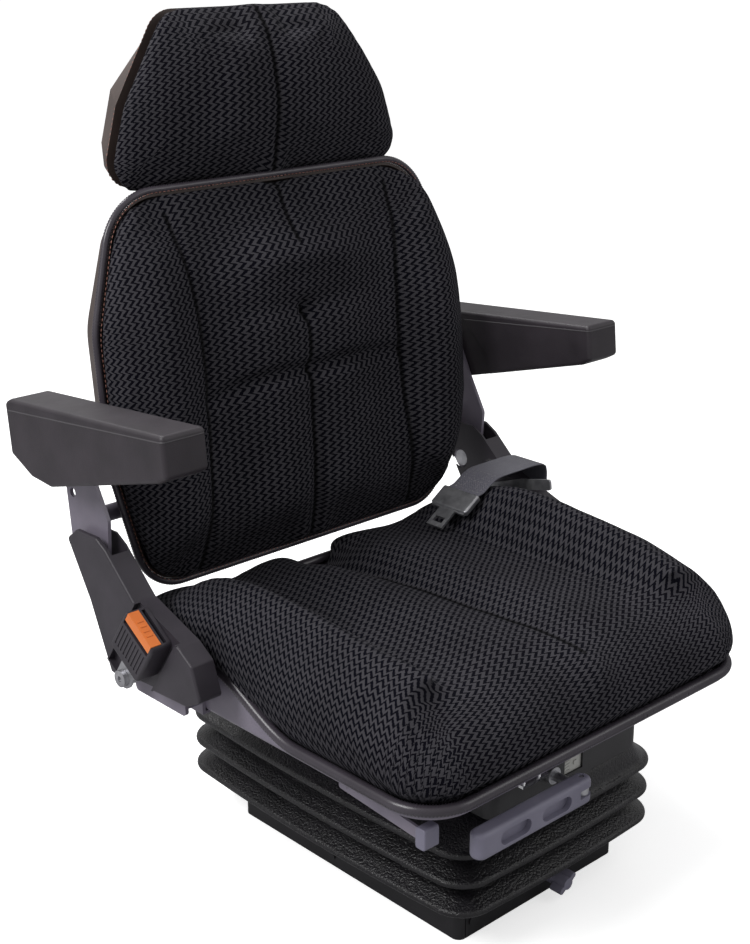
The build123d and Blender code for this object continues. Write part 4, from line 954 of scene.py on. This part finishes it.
def head_reach(flat):
    """How far the edge curls in, the same all round."""
    return np.full(len(flat), 24 * mm)


reskinned(head_foam, 5 * mm, 4)
nosed(head_foam, back_upright, head_outline, 1, -1, head_root, head_crown, 9 * mm, head_reach)
head_fill = [(0, 560, -10), (0, 530, -14), (0, 460, -23), (0, 400, -19), (0, 378, -16)]
sink(head_foam, on_back_face(head_foam), back_face, [(head_fill, 17)])
reskinned(head_foam, 5 * mm, 8)
swollen(head_foam, zigzag_knit, back_face, 0.12)
set_points(head_foam, points_of(head_foam) + np.array(head_settle))
head_seam = [(0, 562, 3), (0, 470, 4), (0, 376, 4)]
head_flat = on_back_face(head_foam)
sink(head_foam, head_flat, back_face, [(head_seam, 6)])
head_drops = head_crown(head_flat) + 8 * mm - off_back_face(head_foam)
marked(head_foam, head_flat, back_face, [(head_seam, 6)], head_outline, head_drops)
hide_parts("headrest_cushion")
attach(head_foam, "head")


def stitched(name, path, length, thickness, material, rise):
    """A row of stitches: short rounded threads at even steps along a path of (place, outward)."""
    mesh = bpy.data.meshes.new(name)
    build = bmesh.new()
    for index in range(0, len(path) - 1, 2):
        place, outward = path[index]
        ahead = path[index + 1][0] - place
        run = ahead.normalized()
        side = run.cross(outward).normalized()
        shape = Matrix((run * length, side * thickness, outward * thickness)).transposed().to_4x4()
        centre = place + ahead / 2 + outward * rise
        put = Matrix.Translation(centre) @ shape
        bmesh.ops.create_uvsphere(build, u_segments=8, v_segments=6, radius=0.5, matrix=put)
    build.to_mesh(mesh)
    build.free()
    mesh.polygons.foreach_set("use_smooth", [True] * len(mesh.polygons))
    mesh.materials.append(material)
    piece = bpy.data.objects.new(name, mesh)
    scene.collection.objects.link(piece)
    return piece


def thread(name, dark, light):
    """Twisted sewing thread."""
    material, tree, shader = new_finish(name)
    place = at_rest(tree)
    tree.links.new(mottled(tree, place, dark, light, 6 * mm), shader.inputs["Base Color"])
    uneven(tree, shader, place, 0.55, 0.75, 3 * mm)
    twist = step(tree, "TexWave", {"Vector": place, "Scale": 1 / (0.6 * mm)}, bands_direction="DIAGONAL")
    raised(tree, shader, twist.outputs["Fac"], 0.06 * mm)
    return material


stitch_long = 3.4 * mm
stitch_thick = 0.8 * mm
salmon_thread = thread("salmon thread", (0.3, 0.13, 0.1), (0.42, 0.2, 0.16))
head_loop = rounded_loop(both_halves(head_corners, -1.2), 2.6 * mm)
back_thread_loop = rounded_loop(both_halves(back_corners, 0.6), 2.6 * mm)


def edge_path(loop, y, middle):
    """Places round a pad's rear edge, each with its outward direction."""
    path = []
    for index, (x, z) in enumerate(loop):
        following = loop[(index + 1) % len(loop)]
        run = Vector((following[0] - x, 0, following[1] - z)).normalized()
        outward = run.cross(Vector((0, 1, 0)))
        if outward.dot(Vector((x, 0, z - middle))) < 0:
            outward = -outward
        path.append((back_turn @ Vector((x, y, z)), back_turn.to_3x3() @ outward))
    return path


head_path = edge_path(head_loop, head_rim_y + 1.5 * mm, 460 * mm)
head_thread = stitched("headrest_thread", head_path, stitch_long, stitch_thick, salmon_thread, 0.9 * mm)
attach(head_thread, "head")
back_path = edge_path(back_thread_loop, back_rim_y - 5.2 * mm, 170 * mm)
back_thread = stitched("backrest_thread", back_path, stitch_long, stitch_thick, salmon_thread, 0.4 * mm)
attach(back_thread, "back")

# Lap belt: grey webbing from a sealed retractor outside the left cover, over the bolster to a
# plated tongue lying on the seat. The buckle is charcoal plastic with an orange press button.
orange = moulded("orange button", (0.72, 0.17, 0.03), (0.85, 0.24, 0.05), 0.3, 0.42, 0.9 * mm, 0.02 * mm)
dress(charcoal, "belt_retractor", "buckle_body")
dress(plated_steel, "buckle_stalk", "buckle_bolt", "belt_tongue")
dress(orange, "buckle_button")
web_y = 112 * mm
web_half = 24 * mm
web_thick = 1.4 * mm
web_clear = 1.6 * mm
fold_x = 292 * mm
web_climb = [(0, 286), (0, 300), (0, 318), (0, 334), (-2, 342), (-6, 345.5), (-14, 347.5), (-26, 348)]
web_lie_x = 258 * mm
web_lie_z = 347.5 * mm
web_step = 6 * mm
web_steps = 14
web_dip_from = 8
web_dip_steps = 5
tongue_end = Vector((170.2 * mm, 332.3 * mm))
above_seat = 0.6

seat_tree = BVHTree.FromObject(seat_foam, bpy.context.evaluated_depsgraph_get())


def cushion_top(x):
    """The highest point of the cushion under the webbing's width."""
    best = 0.0
    for share in (-1, -0.5, 0, 0.5, 1):
        above = Vector((x, web_y + share * web_half, above_seat))
        spot = seat_tree.ray_cast(above, Vector((0, 0, -1)))[0]
        if spot is not None:
            best = max(best, spot.z)
    return best


web_line = [(fold_x + x * mm, z * mm) for x, z in web_climb]
for part in range(web_steps):
    x = web_lie_x - part * web_step
    ease = max(0, part - web_dip_from) / web_dip_steps
    straight = web_lie_z - (web_lie_z - tongue_end.y) * ease * ease
    web_line.append((x, max(cushion_top(x) + web_clear, straight)))
web_line.append((tongue_end.x, tongue_end.y))
for _ in range(2):
    triples = zip(web_line[4:], web_line[5:], web_line[6:])
    eased = [(here[0], (before[1] + 2 * here[1] + after[1]) / 4) for before, here, after in triples]
    web_line = web_line[:5] + eased + web_line[-1:]
cloth_line = [Vector((x, z)) for x, z in web_line]



def twilled(name):
    """Woven polyester with the herringbone ribs of seat belt webbing."""
    material, tree, shader = new_finish(name)
    place = at_rest(tree)
    parts = step(tree, "SeparateXYZ", {"Vector": place})
    across = reckon(tree, "DIVIDE", parts.outputs["Y"], 3.2 * mm)
    run = reckon(tree, "SUBTRACT", parts.outputs["X"], parts.outputs["Z"])
    zig = reckon(tree, "PINGPONG", across, 1.0)
    twill = reckon(tree, "MULTIPLY_ADD", zig, 1.4, reckon(tree, "DIVIDE", run, 1.5 * mm))
    wave = reckon(tree, "SINE", reckon(tree, "MULTIPLY", twill, 2 * pi))
    height = reckon(tree, "MULTIPLY_ADD", wave, 0.5, 0.5)
    mix = step(tree, "Mix", {"Factor": height}, data_type="RGBA")
    mix.inputs["A"].default_value = (0.06, 0.058, 0.074, 1)
    mix.inputs["B"].default_value = (0.14, 0.137, 0.168, 1)
    tree.links.new(mix.outputs["Result"], shader.inputs["Base Color"])
    uneven(tree, shader, place, 0.5, 0.7, 9 * mm)
    raised(tree, shader, height, 0.22 * mm)
    shader.inputs["Sheen Weight"].default_value = 0.1
    return material


weave = twilled("twill webbing")
web_shares = (-1, -0.96, -0.5, 0, 0.5, 0.96, 1)
web_rings = []
for index, spot in enumerate(cloth_line):
    ahead = cloth_line[min(index + 1, len(cloth_line) - 1)] - cloth_line[max(index - 1, 0)]
    lift_way = Vector((-ahead.y, ahead.x)).normalized()
    if lift_way.y < 0 or (abs(lift_way.y) < 1e-6 and lift_way.x < 0):
        lift_way = -lift_way
    ring = []
    for face in (1, -1):
        for share in web_shares[::face]:
            rise = lift_way * face * web_thick * (0.5 if abs(share) < 1 else 0.3)
            ring.append(Vector((spot.x + rise.x, web_y + share * web_half, spot.y + rise.y)))
    web_rings.append(ring)
webbing = ringed_piece("lap_belt_webbing", web_rings, weave, endless=False)
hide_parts("belt_webbing")
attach(webbing, "seat")

# The webbing's end is sewn down beside the tongue with a crossed box of grey thread; its fold round the
# tongue is not modelled.
grey_thread = thread("grey thread", (0.16, 0.155, 0.17), (0.24, 0.235, 0.25))
box_from = 6 * mm
box_long = 34 * mm
box_half = 18 * mm
box_stitch_gap = 2.7 * mm


def on_webbing(run, across):
    """A place on the webbing's upper face, run along it from the tongue, and its outward way."""
    gone = 0.0
    for start, end in zip(cloth_line[::-1], cloth_line[::-1][1:]):
        length = (end - start).length
        if gone + length >= run:
            break
        gone += length
    spot = start.lerp(end, (run - gone) / length)
    way = (end - start).normalized()
    out = Vector((-way.y, 0, way.x))
    return Vector((spot.x, web_y + across, spot.y)) + out * web_thick / 2, out


box_rows = []
for across in (-box_half, -box_half / 2, box_half / 2, box_half):
    box_rows.append(((box_from, across), (box_from + box_long, across)))
for run in (box_from, box_from + box_long / 2, box_from + box_long):
    box_rows.append(((run, -box_half), (run, box_half)))
box_rows.append(((box_from, -box_half), (box_from + box_long, box_half)))
box_rows.append(((box_from, box_half), (box_from + box_long, -box_half)))
for row, (row_start, row_end) in enumerate(box_rows):
    count = round(hypot(row_end[0] - row_start[0], row_end[1] - row_start[1]) / box_stitch_gap)
    row_places = [Vector(row_start).lerp(Vector(row_end), part / count) for part in range(count + 1)]
    row_path = [on_webbing(run, across) for run, across in row_places]
    sewing = stitched(f"webbing_stitches_{row + 1}", row_path, 3.0 * mm, stitch_thick, grey_thread, 0.1 * mm)
    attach(sewing, "seat")
